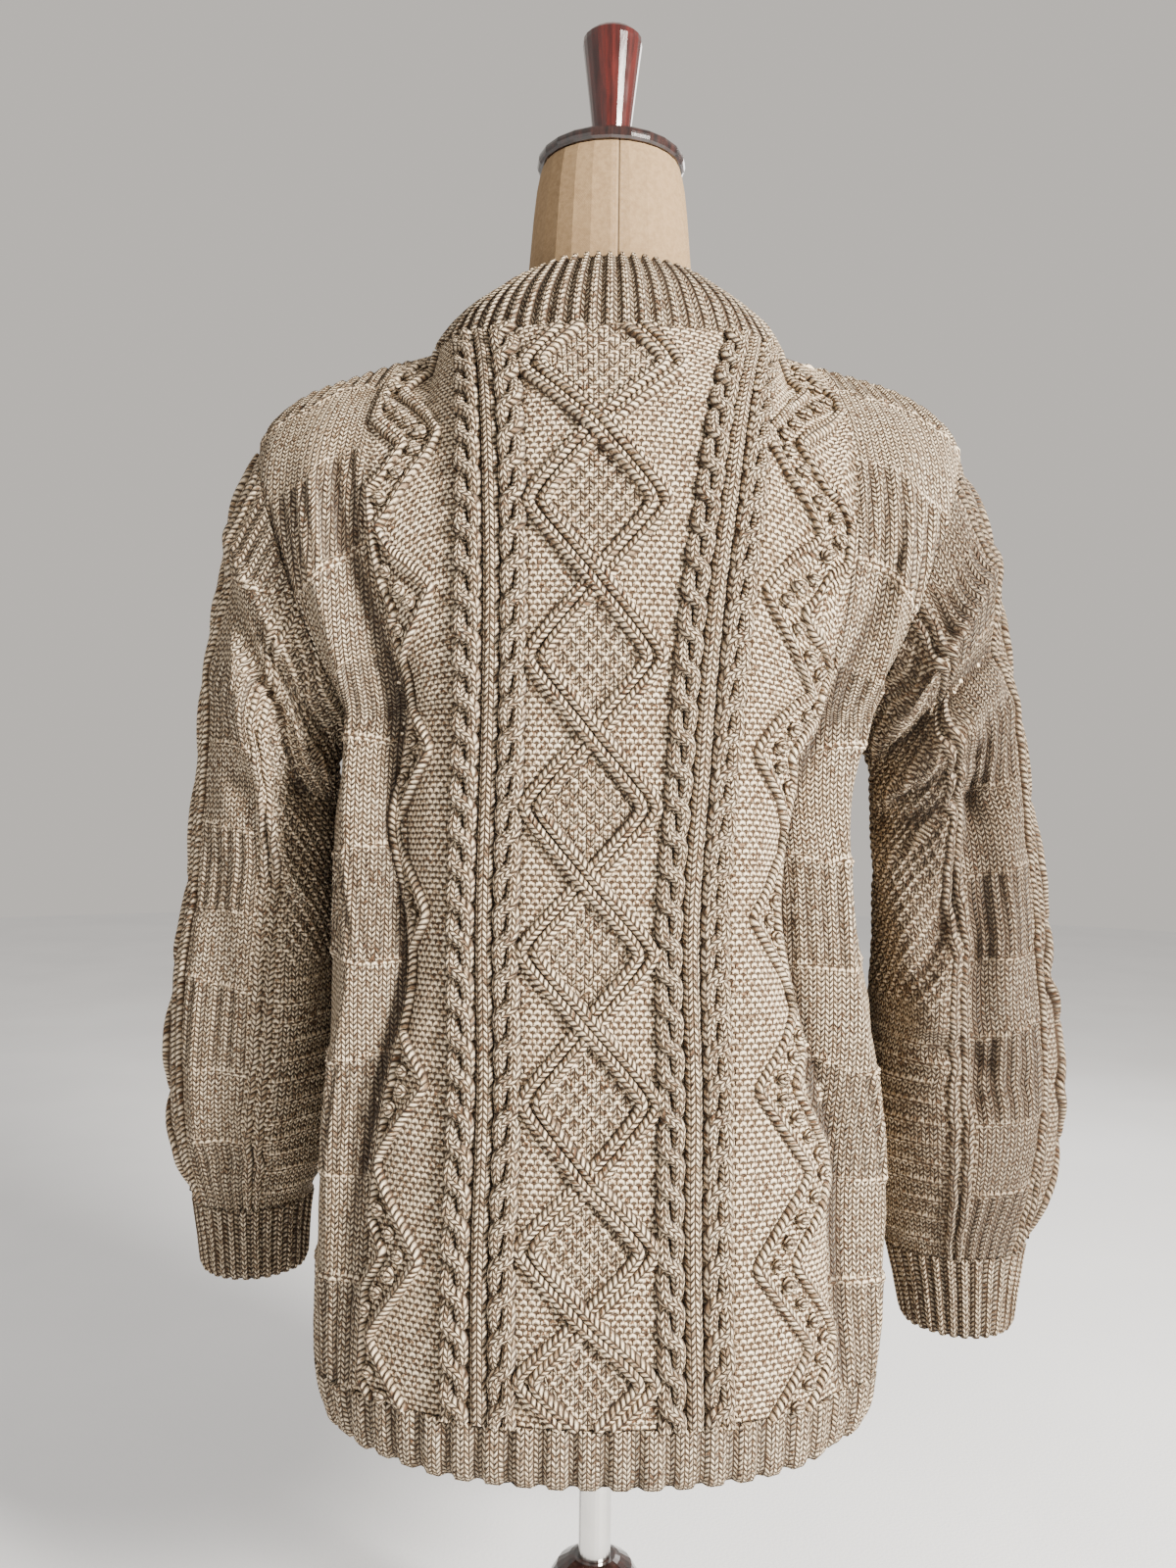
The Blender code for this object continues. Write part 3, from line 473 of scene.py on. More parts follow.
def sleeve_ring(table, folds, side, along, around):
    inner = np.array((table.at(along, "inner_x"), table.at(along, "inner_z")))
    outer = np.array((table.at(along, "outer_x"), table.at(along, "outer_z")))
    swing = (0.5 - 0.5 * np.cos(around))[:, None]
    flat = inner + (outer - inner) * swing
    depth = np.where(np.sin(around) >= 0, table.at(along, "back"), table.at(along, "front"))
    y = table.at(along, "middle") - depth * np.sin(around)
    ring = np.stack((flat[:, 0], y, flat[:, 1]), axis=-1)
    middle = ring.mean(axis=0)
    out = ring - middle
    out /= np.linalg.norm(out, axis=1, keepdims=True)
    ring += out * sum(sleeve_fold_rise(run, along, np.degrees(around)) for run in folds)[:, None]
    ring[:, 0] *= side
    return ring


def waver(across, up, size, seed):
    """Smooth unevenness between -1 and 1, with lumps about one size wide."""
    lattice = np.random.RandomState(seed).uniform(-1.0, 1.0, (128, 128))
    x = across / size + 64.0
    y = up / size + 17.0
    i = np.floor(x).astype(int)
    j = np.floor(y).astype(int)
    s = x - i
    t = y - j
    s = s * s * (3.0 - 2.0 * s)
    t = t * t * (3.0 - 2.0 * t)
    i %= 127
    j %= 127
    low = lattice[i, j] * (1 - s) + lattice[i + 1, j] * s
    high = lattice[i, j + 1] * (1 - s) + lattice[i + 1, j + 1] * s
    return low * (1 - t) + high * t


def triangle(place):
    """A wave from -1 to 1 with straight runs and slightly rounded turns; it is 0 at whole numbers."""
    return np.arcsin(0.985 * np.sin(math.pi * place)) / math.asin(0.985)


class Cloth:
    """A knitted piece's smooth face: a grid of points, each with its place on the cloth in metres
    across and up. A closed cloth's last column lies on its first."""

    def __init__(self, points, across, middle, closed=False):
        self.points = points
        self.across = across
        steps = np.linalg.norm(np.diff(points, axis=0), axis=2)
        self.up = np.concatenate((np.zeros((1, points.shape[1])), np.cumsum(steps, axis=0)))
        self.closed = closed
        rise = np.gradient(points, axis=0)
        if closed:
            ring = points[:, :-1]
            run = np.roll(ring, -1, axis=1) - np.roll(ring, 1, axis=1)
            run = np.concatenate((run, run[:, :1]), axis=1)
        else:
            run = np.gradient(points, axis=1)
        normals = np.cross(run, rise)
        normals /= np.linalg.norm(normals, axis=2, keepdims=True)
        self.turned = ((points - middle) * normals).sum() < 0
        self.normals = -normals if self.turned else normals

    def hollow_shade(self):
        """How far each point lies under the cloth round it, from 0 on the open to 1 in a crease. It weighs
        the painted shade in creases.
        """
        reach = HOLLOW_REACH
        wide = np.pad(self.points, ((reach, reach), (reach, reach), (0, 0)), mode="edge")
        rows, columns = self.points.shape[:2]
        around = np.zeros_like(self.points)
        for i in (0, reach, 2 * reach):
            for j in (0, reach, 2 * reach):
                around += wide[i : i + rows, j : j + columns] / 9.0
        depth = ((around - self.points) * self.normals).sum(axis=2)
        depth[:reach] = depth[-reach:] = 0.0
        depth[:, :reach] = depth[:, -reach:] = 0.0
        return smooth(0.0004, 0.0026, depth)

    def sample(self, grid, row, column):
        rows, columns = grid.shape[:2]
        i = np.clip(row.astype(int), 0, rows - 2)
        j = np.clip(column.astype(int), 0, columns - 2)
        s = np.clip(row - i, 0.0, 1.0)
        t = np.clip(column - j, 0.0, 1.0)
        if grid.ndim == 3:
            s = s[..., None]
            t = t[..., None]
        low = grid[i, j] * (1 - t) + grid[i, j + 1] * t
        high = grid[i + 1, j] * (1 - t) + grid[i + 1, j + 1] * t
        return low * (1 - s) + high * s

    def place(self, across, up):
        """The points and normals at places on the cloth, and whether each is on it."""
        rows, columns = self.across.shape
        row = np.full(across.shape, rows / 2.0)
        column = np.full(across.shape, columns / 2.0)
        for _ in range(14):
            wide = self.sample(self.across, row, column + 1) - self.sample(self.across, row, column)
            error = across - self.sample(self.across, row, column)
            column = np.clip(column + error / np.maximum(wide, STEP / 3), 0, columns - 1.001)
            tall = self.sample(self.up, row + 1, column) - self.sample(self.up, row, column)
            error_up = up - self.sample(self.up, row, column)
            row = np.clip(row + error_up / np.maximum(tall, STEP / 3), 0, rows - 1.001)
        near = np.abs(across - self.sample(self.across, row, column)) < STEP
        near &= np.abs(up - self.sample(self.up, row, column)) < STEP
        normal = self.sample(self.normals, row, column)
        normal /= np.linalg.norm(normal, axis=-1, keepdims=True)
        return self.sample(self.points, row, column), normal, near


class Shape:
    """Gathers the faces of one piece. Each corner has its stitch map place, and each point says how
    much of its ground is purl and how deep it lies in shade between raised stitches."""

    def __init__(self):
        self.points = []
        self.looks = {"purl": [], "shade": []}
        self.faces = {3: [], 4: []}
        self.maps = {3: [], 4: []}
        self.count = 0

    def add_points(self, points, purl, shade):
        first = self.count
        self.points.append(points.reshape(-1, 3))
        for name, value in (("purl", purl), ("shade", shade)):
            self.looks[name].append(np.broadcast_to(value, points.shape[:-1]).ravel())
        self.count += points.size // 3
        return first + np.arange(points.size // 3).reshape(points.shape[:-1])

    def add_faces(self, corners, maps):
        size = corners.shape[-1]
        self.faces[size].append(corners.reshape(-1, size))
        self.maps[size].append(maps.reshape(-1, size, 2))

    def add_grid(self, points, maps, purl=0.0, shade=0.0, wrap=False, turned=False):
        """Faces between the points of a grid, and the numbers of its points. With wrap the last
        column is the first one again."""
        purl = np.broadcast_to(purl, points.shape[:2])
        shade = np.broadcast_to(shade, points.shape[:2])
        if wrap:
            index = self.add_points(points[:, :-1], purl[:, :-1], shade[:, :-1])
            index = np.concatenate((index, index[:, :1]), axis=1)
        else:
            index = self.add_points(points, purl, shade)
        self.join(index, maps, turned)
        return index

    def join(self, index, maps, turned=False):
        order = (0, 3, 2, 1) if turned else (0, 1, 2, 3)
        corners = (index[:-1, :-1], index[:-1, 1:], index[1:, 1:], index[1:, :-1])
        places = (maps[:-1, :-1], maps[:-1, 1:], maps[1:, 1:], maps[1:, :-1])
        self.add_faces(
            np.stack([corners[i] for i in order], axis=-1), np.stack([places[i] for i in order], axis=-2)
        )

    def join_rim(self, outer, inner, maps, turned):
        """Closes the gap between a dense edge and an inner edge with one point in INNER_STRIDE."""
        corners = []
        places = []
        half = INNER_STRIDE // 2
        for k in range(len(inner) - 1):
            first = k * INNER_STRIDE
            for i in range(INNER_STRIDE):
                near = inner[k] if i < half else inner[k + 1]
                corners.append((outer[first + i], outer[first + i + 1], near))
                places.append((first + i, first + i + 1, first + i))
            corners.append((outer[first + half], inner[k + 1], inner[k]))
            places.append((first + half, first + half, first + half))
        corners = np.array(corners)
        places = maps[np.array(places)]
        if turned:
            corners = corners[:, ::-1]
            places = places[:, ::-1]
        self.add_faces(corners, places)

    def build(self, name, material):
        corners = [np.concatenate(self.faces[n]).ravel() for n in (4, 3) if self.faces[n]]
        maps = [np.concatenate(self.maps[n]).reshape(-1, 2) for n in (4, 3) if self.faces[n]]
        sizes = [np.full(sum(len(f) for f in self.faces[n]), n) for n in (4, 3) if self.faces[n]]
        sizes = np.concatenate(sizes)
        corners = np.concatenate(corners).astype(np.int32)
        mesh = bpy.data.meshes.new(name)
        mesh.vertices.add(self.count)
        mesh.vertices.foreach_set("co", np.concatenate(self.points).astype(np.float32).ravel())
        mesh.loops.add(len(corners))
        mesh.loops.foreach_set("vertex_index", corners)
        mesh.polygons.add(len(sizes))
        mesh.polygons.foreach_set("loop_start", (np.cumsum(sizes) - sizes).astype(np.int32))
        layer = mesh.uv_layers.new(name="stitch")
        layer.uv.foreach_set("vector", np.concatenate(maps).astype(np.float32).ravel())
        for look, values in self.looks.items():
            held = mesh.attributes.new(look, "FLOAT", "POINT")
            held.data.foreach_set("value", np.concatenate(values).astype(np.float32))
        mesh.update(calc_edges=True)
        mesh.validate()
        mesh.shade_smooth()
        mesh.materials.append(material)
        piece = bpy.data.objects.new(name, mesh)
        bpy.context.scene.collection.objects.link(piece)
        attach(piece, "root")
        return piece


def rounded_count(length):
    """A number of points for a length, with whole inner strides between them."""
    return int(round(length / STEP / INNER_STRIDE)) * INNER_STRIDE + 1


def panel_cloth(face, heights=None):
    """The panel above the welt, or the rows at the given heights. It also knows how far across each
    row the long rolls begin, on the left and on the right."""
    half = (rounded_count(PANEL_WIDTH) - 1) // 2 + 1
    shares = np.linspace(0.0, 1.0, half)
    if heights is None:
        body = np.linspace(WELT_TOP, UNDERARM, rounded_count(UNDERARM - WELT_TOP))
        levels = [(height, None) for height in body]
        levels += [(UNDERARM, place) for place in np.linspace(0.0, 1.0, rounded_count(YOKE_SPAN))[1:]]
    else:
        levels = [(height, None) for height in heights]
    rows = []
    acrosses = []
    starts = []
    for level, place in levels:
        left, left_across, base = half_row(face, -1.0, shares, level, place)
        right, right_across, base = half_row(face, 1.0, shares, level, place)
        rows.append(np.concatenate((left[:0:-1], [(left[0] + right[0]) / 2], right[1:])))
        acrosses.append(np.concatenate((-left_across[:0:-1], right_across)))
        start = []
        for folds, half_points, half_across in zip(FOLDS[face], (left, right), (left_across, right_across)):
            roll = folds[0].at(half_points[half * 2 // 3, 2], "across")
            start.append(np.interp(roll - ROLL_REACH, base, half_across))
        starts.append(start)
    middle = np.array((0.0, 0.0, np.mean(rows, axis=(0, 1))[2]))
    cloth = Cloth(np.array(rows), np.array(acrosses), middle)
    cloth.roll_starts = np.array(starts)
    return cloth


def sleeve_cloth(table, folds, side, low, high, length):
    """A sleeve's stretch between two places along it, counted up from its lower end. Across is
    measured from the line down the outside of the arm."""
    around = np.radians(np.linspace(0.0, 360.0, rounded_count(SLEEVE_ROUND)))
    places = np.linspace(high, low, rounded_count(length))
    rings = [sleeve_ring(table, folds, side, along, around) for along in places]
    rings = np.array(rings)
    rings[:, -1] = rings[:, 0]
    runs = np.linalg.norm(np.diff(rings, axis=1), axis=2)
    runs = np.concatenate((np.zeros((len(rings), 1)), np.cumsum(runs, axis=1)), axis=1)
    half = runs[:, [runs.shape[1] // 2]]
    across = (runs - half) / runs[:, [-1]] * SLEEVE_GIRTH
    return Cloth(rings, across, rings.mean(axis=(0, 1)), closed=True)


def knit_shell(name, cloth, rise, purl, shade, material, maps=None):
    """A thin closed shell: the cloth's face with its relief, and a plain inner face."""
    if maps is None:
        maps = np.stack((cloth.across / WALE, cloth.up / ROW), axis=-1)
    shape = Shape()
    # Painted shade in the cloth's creases, on top of the shade of its pattern.
    shade = np.clip(shade + FOLD_SHADE * cloth.hollow_shade(), 0.0, 1.0)
    outer = cloth.points + cloth.normals * (GROUND + rise)[..., None]
    outer_index = shape.add_grid(outer, maps, purl, shade, cloth.closed, cloth.turned)
    every = np.s_[::INNER_STRIDE, ::INNER_STRIDE]
    inner = cloth.points[every] - cloth.normals[every] * WALL
    inner_index = shape.add_grid(inner, maps[every], 1.0, 0.0, cloth.closed, not cloth.turned)
    edges = [(np.s_[0, :], True), (np.s_[-1, :], False)]
    if not cloth.closed:
        edges += [(np.s_[:, 0], False), (np.s_[:, -1], True)]
    for edge, flip in edges:
        shape.join_rim(outer_index[edge], inner_index[edge], maps[edge], flip != cloth.turned)
    return shape.build(name, material)


RIBBON = np.linspace(-0.5, 0.5, 7)  # places across a strand
STRAND_STRETCH = 1.15  # how much longer a stitch is on a strand than on the ground


def lay_strand(shape, cloth, across, up, width, height, lift=0.0, wales=1.0, painted_shade=0.0):
    """Lays one strand of knitting over the cloth, along a line of places on it."""
    run = np.stack((np.gradient(across), np.gradient(up)), axis=-1)
    run /= np.linalg.norm(run, axis=1, keepdims=True)
    at_across = across[:, None] + run[:, 1:] * width * RIBBON
    at_up = up[:, None] - run[:, :1] * width * RIBBON
    points, normals, on_cloth_here = cloth.place(at_across, at_up)
    round_top = np.clip(1.0 - np.abs(2 * RIBBON) ** 2.4, 0.0, 1.0) ** 0.5
    # Painted shade darkens the strand's edges; a sleeve's extra painted shade is added on top.
    shade = np.broadcast_to(painted_shade + (0.75 - painted_shade) * (1.0 - round_top) ** 1.5, points.shape[:2])
    rise = np.broadcast_to(lift, across.shape)[:, None] + height * round_top - 0.0022 * (1 - round_top)
    rise[[0, -1]] -= height + 0.002
    points = points + normals * rise[..., None]
    length = np.concatenate(([0.0], np.cumsum(np.hypot(np.diff(across), np.diff(up)))))
    rows_along = length / (ROW * STRAND_STRETCH)
    maps = np.stack(np.broadcast_arrays((RIBBON + 0.5)[None] * wales, rows_along[:, None]), axis=-1)
    shown = on_cloth_here.all(axis=1)
    edges = np.flatnonzero(np.diff(np.concatenate(([0], shown.astype(int), [0]))))
    for first, last in zip(edges[::2], edges[1::2]):
        if last - first > 2:
            stretch_here = np.s_[first:last]
            shape.add_grid(
                points[stretch_here], maps[stretch_here], 0.0, shade[stretch_here], turned=cloth.turned
            )


def lay_bobble(shape, cloth, across, up, radius):
    """A knitted bobble: a small lumpy ball that sits on the ground."""
    spots = np.array((0.0, 0.001, 0.0))
    points, normals, near = cloth.place(across + spots, up + np.array((0.0, 0.0, 0.001)))
    if not near.all():
        return
    side = points[1] - points[0]
    side /= np.linalg.norm(side)
    ahead = np.cross(normals[0], side)
    lean = np.linspace(0.0, math.pi * 0.72, 6)[:, None]
    turn = np.linspace(0.0, 2 * math.pi, 11)[None]
    lump = 1.0 + 0.10 * np.sin(3 * turn + across * 900) * np.sin(lean) + 0.07 * np.cos(5 * lean + up * 700)
    reach = radius * lump
    ball = (
        (np.sin(lean) * np.cos(turn) * reach)[..., None] * side
        + (np.sin(lean) * np.sin(turn) * reach)[..., None] * ahead
        + (np.cos(lean) * reach * 0.8)[..., None] * normals[0]
    )
    ball += points[0] + normals[0] * (GROUND + 0.0020)
    maps = np.stack(np.broadcast_arrays(turn / math.pi, lean * 1.3 + across * 50), axis=-1)
    shade = np.broadcast_to(smooth(1.3, 2.2, lean) * 0.7, ball.shape[:2])
    shape.add_grid(ball[::-1], maps[::-1], 0.0, shade[::-1], wrap=True)


# The body's pattern, measured on the cloth from its centre line.
CROSSINGS = Table(  # the heights where the diamonds' bands cross
    "number height",
    (0, 0.2050),
    (1, 0.2965),
    (2, 0.3690),
    (3, 0.4495),
    (4, 0.5416),
    (5, 0.6310),
    (6, 0.7238),
    (7, 0.8193),
    (8, 0.9175),
    (9, 1.0100),
)
CENTRE_DRIFT = Table(  # how far the knitting's centre line hangs to the left
    "height drift",
    (0.30, -0.0055),
    (0.40, -0.0070),
    (0.50, -0.0060),
    (0.60, -0.0090),
    (0.70, -0.0074),
    (0.80, -0.0055),
    (0.90, -0.0050),
    (0.99, -0.0030),
)
RIGHT_SPREAD = Table(  # how far the right rope column drifts outwards towards the shoulder
    "height spread",
    (0.30, 0.000),
    (0.62, 0.000),
    (0.70, 0.0035),
    (0.76, 0.0055),
    (0.82, 0.0090),
    (0.88, 0.0150),
    (0.94, 0.0180),
    (0.99, 0.0200),
)
DIAMOND_REACH = 0.0365  # from the centre line to the middle of a band at its turn
MOSS_MARGIN = 0.008  # from the middle of a band to the moss inside it
CENTRE_FIELD = 0.0430  # from the centre line to the ropes, and to the far side of the ropes
ROPE_FIELD = 0.0915
CROSSING_SHARE = 0.17  # share of a diamond's height over which one band rises over the other
BAND_OFFSET = 0.0050  # from the middle of a band to each of its two strands
CHAIN_WIDTH = 0.0086
CHAIN_HEIGHT = 0.0036
ROPE_PITCH = 0.0215
ROPE_HEIGHT = 0.0032
ROPE_SNAP = 2.3  # how quickly a rope's strand crosses to the other edge
ROPES = ((0.0515, 0.0170), (0.0815, 0.0190))  # middle and width of the ropes beside the spine
SPINE = 0.0660
ZIGZAG_PERIOD = 0.106
ZIGZAG_TURN = 0.873  # a height where the zigzags turn away from the centre
ZIGZAG_SWING = 0.0185
ZIGZAGS = (0.1260, 0.1530)  # middles of the inner and the outer zigzag
BOBBLE_PITCH = 0.0125
BOBBLE_RADIUS = 0.0050
SPINE_WIDTH = 0.0118
LADDER_BLOCK = 0.070  # length of a block of rib, or of the plain block above it
RIDGE = 0.0028  # half width of a purl ridge


def crossing_count(height):
    """Which crossing a height lies at, as a smooth number."""
    return np.interp(height, CROSSINGS.columns[1], CROSSINGS.columns[0])


class BodyPattern:
    """Where the cables of a body panel run, in places on its cloth."""

    def __init__(self, cloth, drift_share=1.0):
        middle = cloth.points.shape[1] // 2
        self.cloth = cloth
        self.heights = cloth.points[:, middle, 2]
        self.ups = cloth.up[:, middle]
        self.drift_share = drift_share
        self.top = self.ups[-1] + 0.03

    def height(self, up):
        step = (self.heights[-1] - self.heights[-9]) / (self.ups[-1] - self.ups[-9])
        past = np.maximum(up - self.ups[-1], 0.0) * step
        return np.interp(up, self.ups, self.heights) + past

    def centre(self, up):
        return CENTRE_DRIFT.at(self.height(up), "drift") * self.drift_share

    def roll_start(self, up, side):
        """How far from the centre line the roll on one side begins."""
        return np.interp(up, self.ups, self.cloth.roll_starts[:, 0 if side < 0 else 1])

    def spread(self, up, side):
        """How far the rope column on one side stands further out than it was knitted."""
        return side * RIGHT_SPREAD.at(self.height(up), "spread") * self.drift_share * (side > 0)

    def band(self, up):
        """Distance of the band that starts to the right of the centre line, without its drift."""
        return DIAMOND_REACH * triangle(crossing_count(self.height(up)))

    def swing(self, up):
        return ZIGZAG_SWING * triangle((self.height(up) - ZIGZAG_TURN) / (ZIGZAG_PERIOD / 2) + 0.5)


def moss(across, up):
    """Double moss: lumps two stitches wide and two rows tall, in a chequer."""
    return np.cos(math.pi * across / WALE) * np.cos(math.pi * up / (2 * ROW))


def ladder(across, up):
    """Long blocks of rib and of plain knitting, parted by purl ridges: rise, purl and shade."""
    sagged = up + 0.10 * across + 0.006 * waver(across, up, 0.045, 12)
    block = sagged / LADDER_BLOCK
    place = block - np.floor(block)
    even = np.floor(block).astype(int) % 2 == 0
    ribbed = inside(place * LADDER_BLOCK, 0.0, LADDER_BLOCK, 0.0030) * even
    ridge = hump(place * LADDER_BLOCK, 0.0, RIDGE) + hump(place * LADDER_BLOCK, LADDER_BLOCK, RIDGE)
    ridge *= 0.70 + 0.45 * waver(across, up, 0.028, 13)
    rib = 0.5 + 0.5 * np.cos(math.pi * (across - WALE / 2) / WALE)
    gutter = ribbed * (1 - smooth(0.15, 0.75, rib))
    rise = 0.0024 * ribbed * smooth(0.1, 0.8, rib) - 0.0010 * ribbed + 0.0018 * ridge
    purl = np.clip(ridge * 1.3, 0.0, 1.0)
    shade = 0.70 * gutter * (1 - np.clip(ridge, 0, 1))
    return rise, purl, shade


def body_ground(pattern):
    """Rise, purl and shade of the ground over a whole panel."""
    cloth = pattern.cloth
    up = cloth.up
    across = cloth.across - pattern.centre(up)
    away = np.abs(across)
    band = np.abs(pattern.band(up))
    in_diamond = inside(away, -1.0, band - MOSS_MARGIN)
    in_field = inside(away, -1.0, CENTRE_FIELD)
    lump = moss(across, up)
    purl = 1.0 - in_diamond * (0.5 - 0.5 * np.clip(2 * lump, -1, 1))
    shade = 0.55 * in_diamond * smooth(0.1, -0.8, lump)
    rise = 0.0016 * lump * in_diamond
    rise += 0.0008 * (1.0 - in_diamond) * in_field * np.cos(math.pi * across / 0.09)
    spread = pattern.spread(up, 1.0) * (across > 0)
    in_ropes = inside(away, CENTRE_FIELD + spread, ROPE_FIELD + spread, 0.0015)
    rise -= 0.0016 * in_ropes
    shade += 0.5 * in_ropes
    swing = pattern.swing(up)
    between = inside(away, ZIGZAGS[0] + swing, ZIGZAGS[1] + swing)
    rise += 0.0004 * between
    start = np.where(cloth.across < 0, pattern.roll_start(up, -1.0), pattern.roll_start(up, 1.0))
    from_start = np.abs(cloth.across) - start
    steps, ridges, hollow_shade = ladder(from_start, up)
    in_ladder = inside(from_start, 0.0, 1.0)
    height = cloth.points[:, :, 2]
    folded = smooth(0.30, 0.42, height) * (1.0 - smooth(0.85, 0.95, height))
    tuck = folded * hump(from_start, -0.0015, 0.0042)
    rise += in_ladder * (steps + 0.0008)
    purl = purl * (1 - in_ladder) + ridges * in_ladder
    shade = shade * (1 - in_ladder) + hollow_shade * in_ladder
    rise -= 0.0030 * tuck
    shade = np.clip(shade + 0.75 * tuck, 0.0, 1.0)
    rise += 0.0007 * waver(cloth.across, up, 0.035, 3) + 0.0004 * waver(cloth.across, up, 0.012, 4)
    return rise, purl, shade


def lay_rope(shape, cloth, line, up, width, side):
    """Two strands twisted round each other along a line on the cloth. The one in front runs from
    the rope's edge on the given side to its other edge as it comes down."""
    for start in (0.0, 1.0):
        turn = math.pi * (up / ROPE_PITCH + start)
        sway = np.tanh(ROPE_SNAP * np.cos(turn)) / math.tanh(ROPE_SNAP)
        across = line + side * sway * width * 0.27
        lift = 0.0010 + 0.0025 * np.sin(-turn)
        lay_strand(shape, cloth, across, up, width * 0.54, ROPE_HEIGHT, lift, wales=2.0)


def body_cables(name, pattern, material):
    cloth = pattern.cloth
    shape = Shape()
    up = np.arange(-0.012, pattern.top, 0.0022)
    centre = pattern.centre(up)
    count = crossing_count(pattern.height(up))
    near = np.clip(1.0 - np.abs(count - np.round(count)) / CROSSING_SHARE, 0.0, 1.0)
    near = near * near * (3 - 2 * near)
    odd = np.round(count).astype(int) % 2
    for start in (1.0, -1.0):
        band = pattern.band(up) * start
        over = np.where((odd == 1) == (start > 0), 1.0, -1.0)
        lift = 0.0006 + near * np.where(over > 0, 0.0026, -0.0008)
        for offset in (-BAND_OFFSET, BAND_OFFSET):
            lay_strand(shape, cloth, centre + band + offset, up, CHAIN_WIDTH, CHAIN_HEIGHT, lift)
    fine = np.arange(-0.012, pattern.top, 0.0017)
    middle = pattern.centre(fine)
    for side in (-1.0, 1.0):
        for place, width in ROPES:
            lean = -side if place < SPINE else side
            line = middle + side * place + pattern.spread(fine, side)
            lay_rope(shape, cloth, line, fine, width, lean)
        line = centre + side * SPINE + pattern.spread(up, side)
        lay_strand(shape, cloth, line, up, SPINE_WIDTH, 0.0030, 0.0, wales=2.0)
        swing = pattern.swing(up)
        limit = pattern.roll_start(up, side) - CHAIN_WIDTH / 2
        for place in ZIGZAGS:
            line = side * np.minimum(side * centre + place + swing, limit)
            lay_strand(shape, cloth, line, up, CHAIN_WIDTH, CHAIN_HEIGHT)
        for k, bobble_up in enumerate(np.arange(0.004, pattern.top, BOBBLE_PITCH)):
            away = sum(ZIGZAGS) / 2 + pattern.swing(np.array([bobble_up]))[0]
            spot = pattern.centre(np.array([bobble_up]))[0] + side * away
            if side * spot > pattern.roll_start(bobble_up, side) - BOBBLE_RADIUS:
                continue
            lay_bobble(shape, cloth, spot, bobble_up, BOBBLE_RADIUS * (1 + 0.08 * math.sin(2.3 * k)))
    return shape.build(name, material)


# The sleeves' pattern, measured on the cloth from the line down the outside of the arm.
ARM_DIAMOND_REACH = 0.028
ARM_DIAMOND_PERIOD = 0.082
ARM_CHAINS = (0.0440, 0.0530, 0.1180, 0.1270)
ARM_CHAIN_WIDTH = 0.0076
ARM_CHAIN_HEIGHT = 0.0024
ARM_LADDER = (0.0600, 0.1120)
ARM_BLOCK = 0.058
ARM_WELTS_FROM = 0.1340
ARM_WELT_PITCH = 0.0150
ARM_WELTS_TOP = 0.19  # how far up the sleeve its garter ridges go; moss is above them


def sleeve_ground(cloth, painted_shade):
    """Rise, purl and shade of a sleeve, with extra painted shade laid over it that is lighter near the
    inner side of the arm.
    """
    away = np.abs(cloth.across)
    up = cloth.up
    reach = ARM_DIAMOND_REACH * np.abs(triangle(up / ARM_DIAMOND_PERIOD))
    in_diamond = inside(away, -1.0, reach - 0.003)
    lump = moss(cloth.across, up)
    purl = 1.0 - in_diamond * (0.5 - 0.5 * np.clip(2 * lump, -1, 1))
    shade = 0.5 * in_diamond * smooth(0.1, -0.8, lump)
    rise = 0.0014 * lump * in_diamond
    steps, ridges, hollow_shade = ladder(away - ARM_LADDER[0], up * LADDER_BLOCK / ARM_BLOCK)
    in_ladder = inside(away, *ARM_LADDER)
    rise += in_ladder * (0.8 * steps + 0.0004)
    purl = purl * (1 - in_ladder) + ridges * in_ladder
    shade = shade * (1 - in_ladder) + 0.6 * hollow_shade * in_ladder
    sagged = up + 0.005 * waver(cloth.across, up, 0.04, 14)
    welt = 0.5 + 0.5 * np.cos(2 * math.pi * sagged / ARM_WELT_PITCH)
    low = 1.0 - smooth(ARM_WELTS_TOP - 0.02, ARM_WELTS_TOP + 0.02, sagged)
    ridge = smooth(0.45, 0.95, welt) * low * (0.65 + 0.5 * waver(cloth.across, up, 0.022, 15))
    in_welts = inside(away, ARM_WELTS_FROM, 1.0)
    mossy = in_welts * (1.0 - low)
    rise += in_welts * 0.0015 * ridge + mossy * 0.0011 * lump
    purl = purl * (1 - in_welts) + in_welts * np.clip(ridge, 0.0, 1.0)
    purl = purl * (1 - mossy) + mossy * (0.5 + 0.5 * np.clip(2 * lump, -1, 1))
    shade = shade + 0.4 * mossy * smooth(0.1, -0.8, lump)
    rise += 0.0014 * waver(cloth.across, up, 0.045, 5) + 0.0005 * waver(cloth.across, up, 0.012, 6)
    # Painted shade over the whole sleeve, lighter near the inner side of the arm.
    sleeve_shade = painted_shade * (1.0 - 0.6 * smooth(0.130, 0.185, away))
    return rise, purl, np.clip(shade + sleeve_shade, 0.0, 1.0)


def sleeve_cables(name, cloth, painted_shade, material):
    shape = Shape()
    up = np.arange(-0.004, cloth.up.max(), 0.0024)
    wave = ARM_DIAMOND_REACH * triangle(up / ARM_DIAMOND_PERIOD)
    count = up / ARM_DIAMOND_PERIOD
    near = np.clip(1.0 - np.abs(count - np.round(count)) / 0.15, 0, 1)
    for side in (-1.0, 1.0):
        lift = 0.0004 + near * (0.0020 if side > 0 else -0.0008)
        lay_strand(shape, cloth, wave * side, up, CHAIN_WIDTH, CHAIN_HEIGHT, lift, painted_shade=painted_shade)
        for place in ARM_CHAINS:
            line = np.full_like(up, side * place) + 0.0006 * np.sin(up / 0.004 + place * 900)
            lay_strand(shape, cloth, line, up, ARM_CHAIN_WIDTH, ARM_CHAIN_HEIGHT, painted_shade=painted_shade)
    return shape.build(name, material)


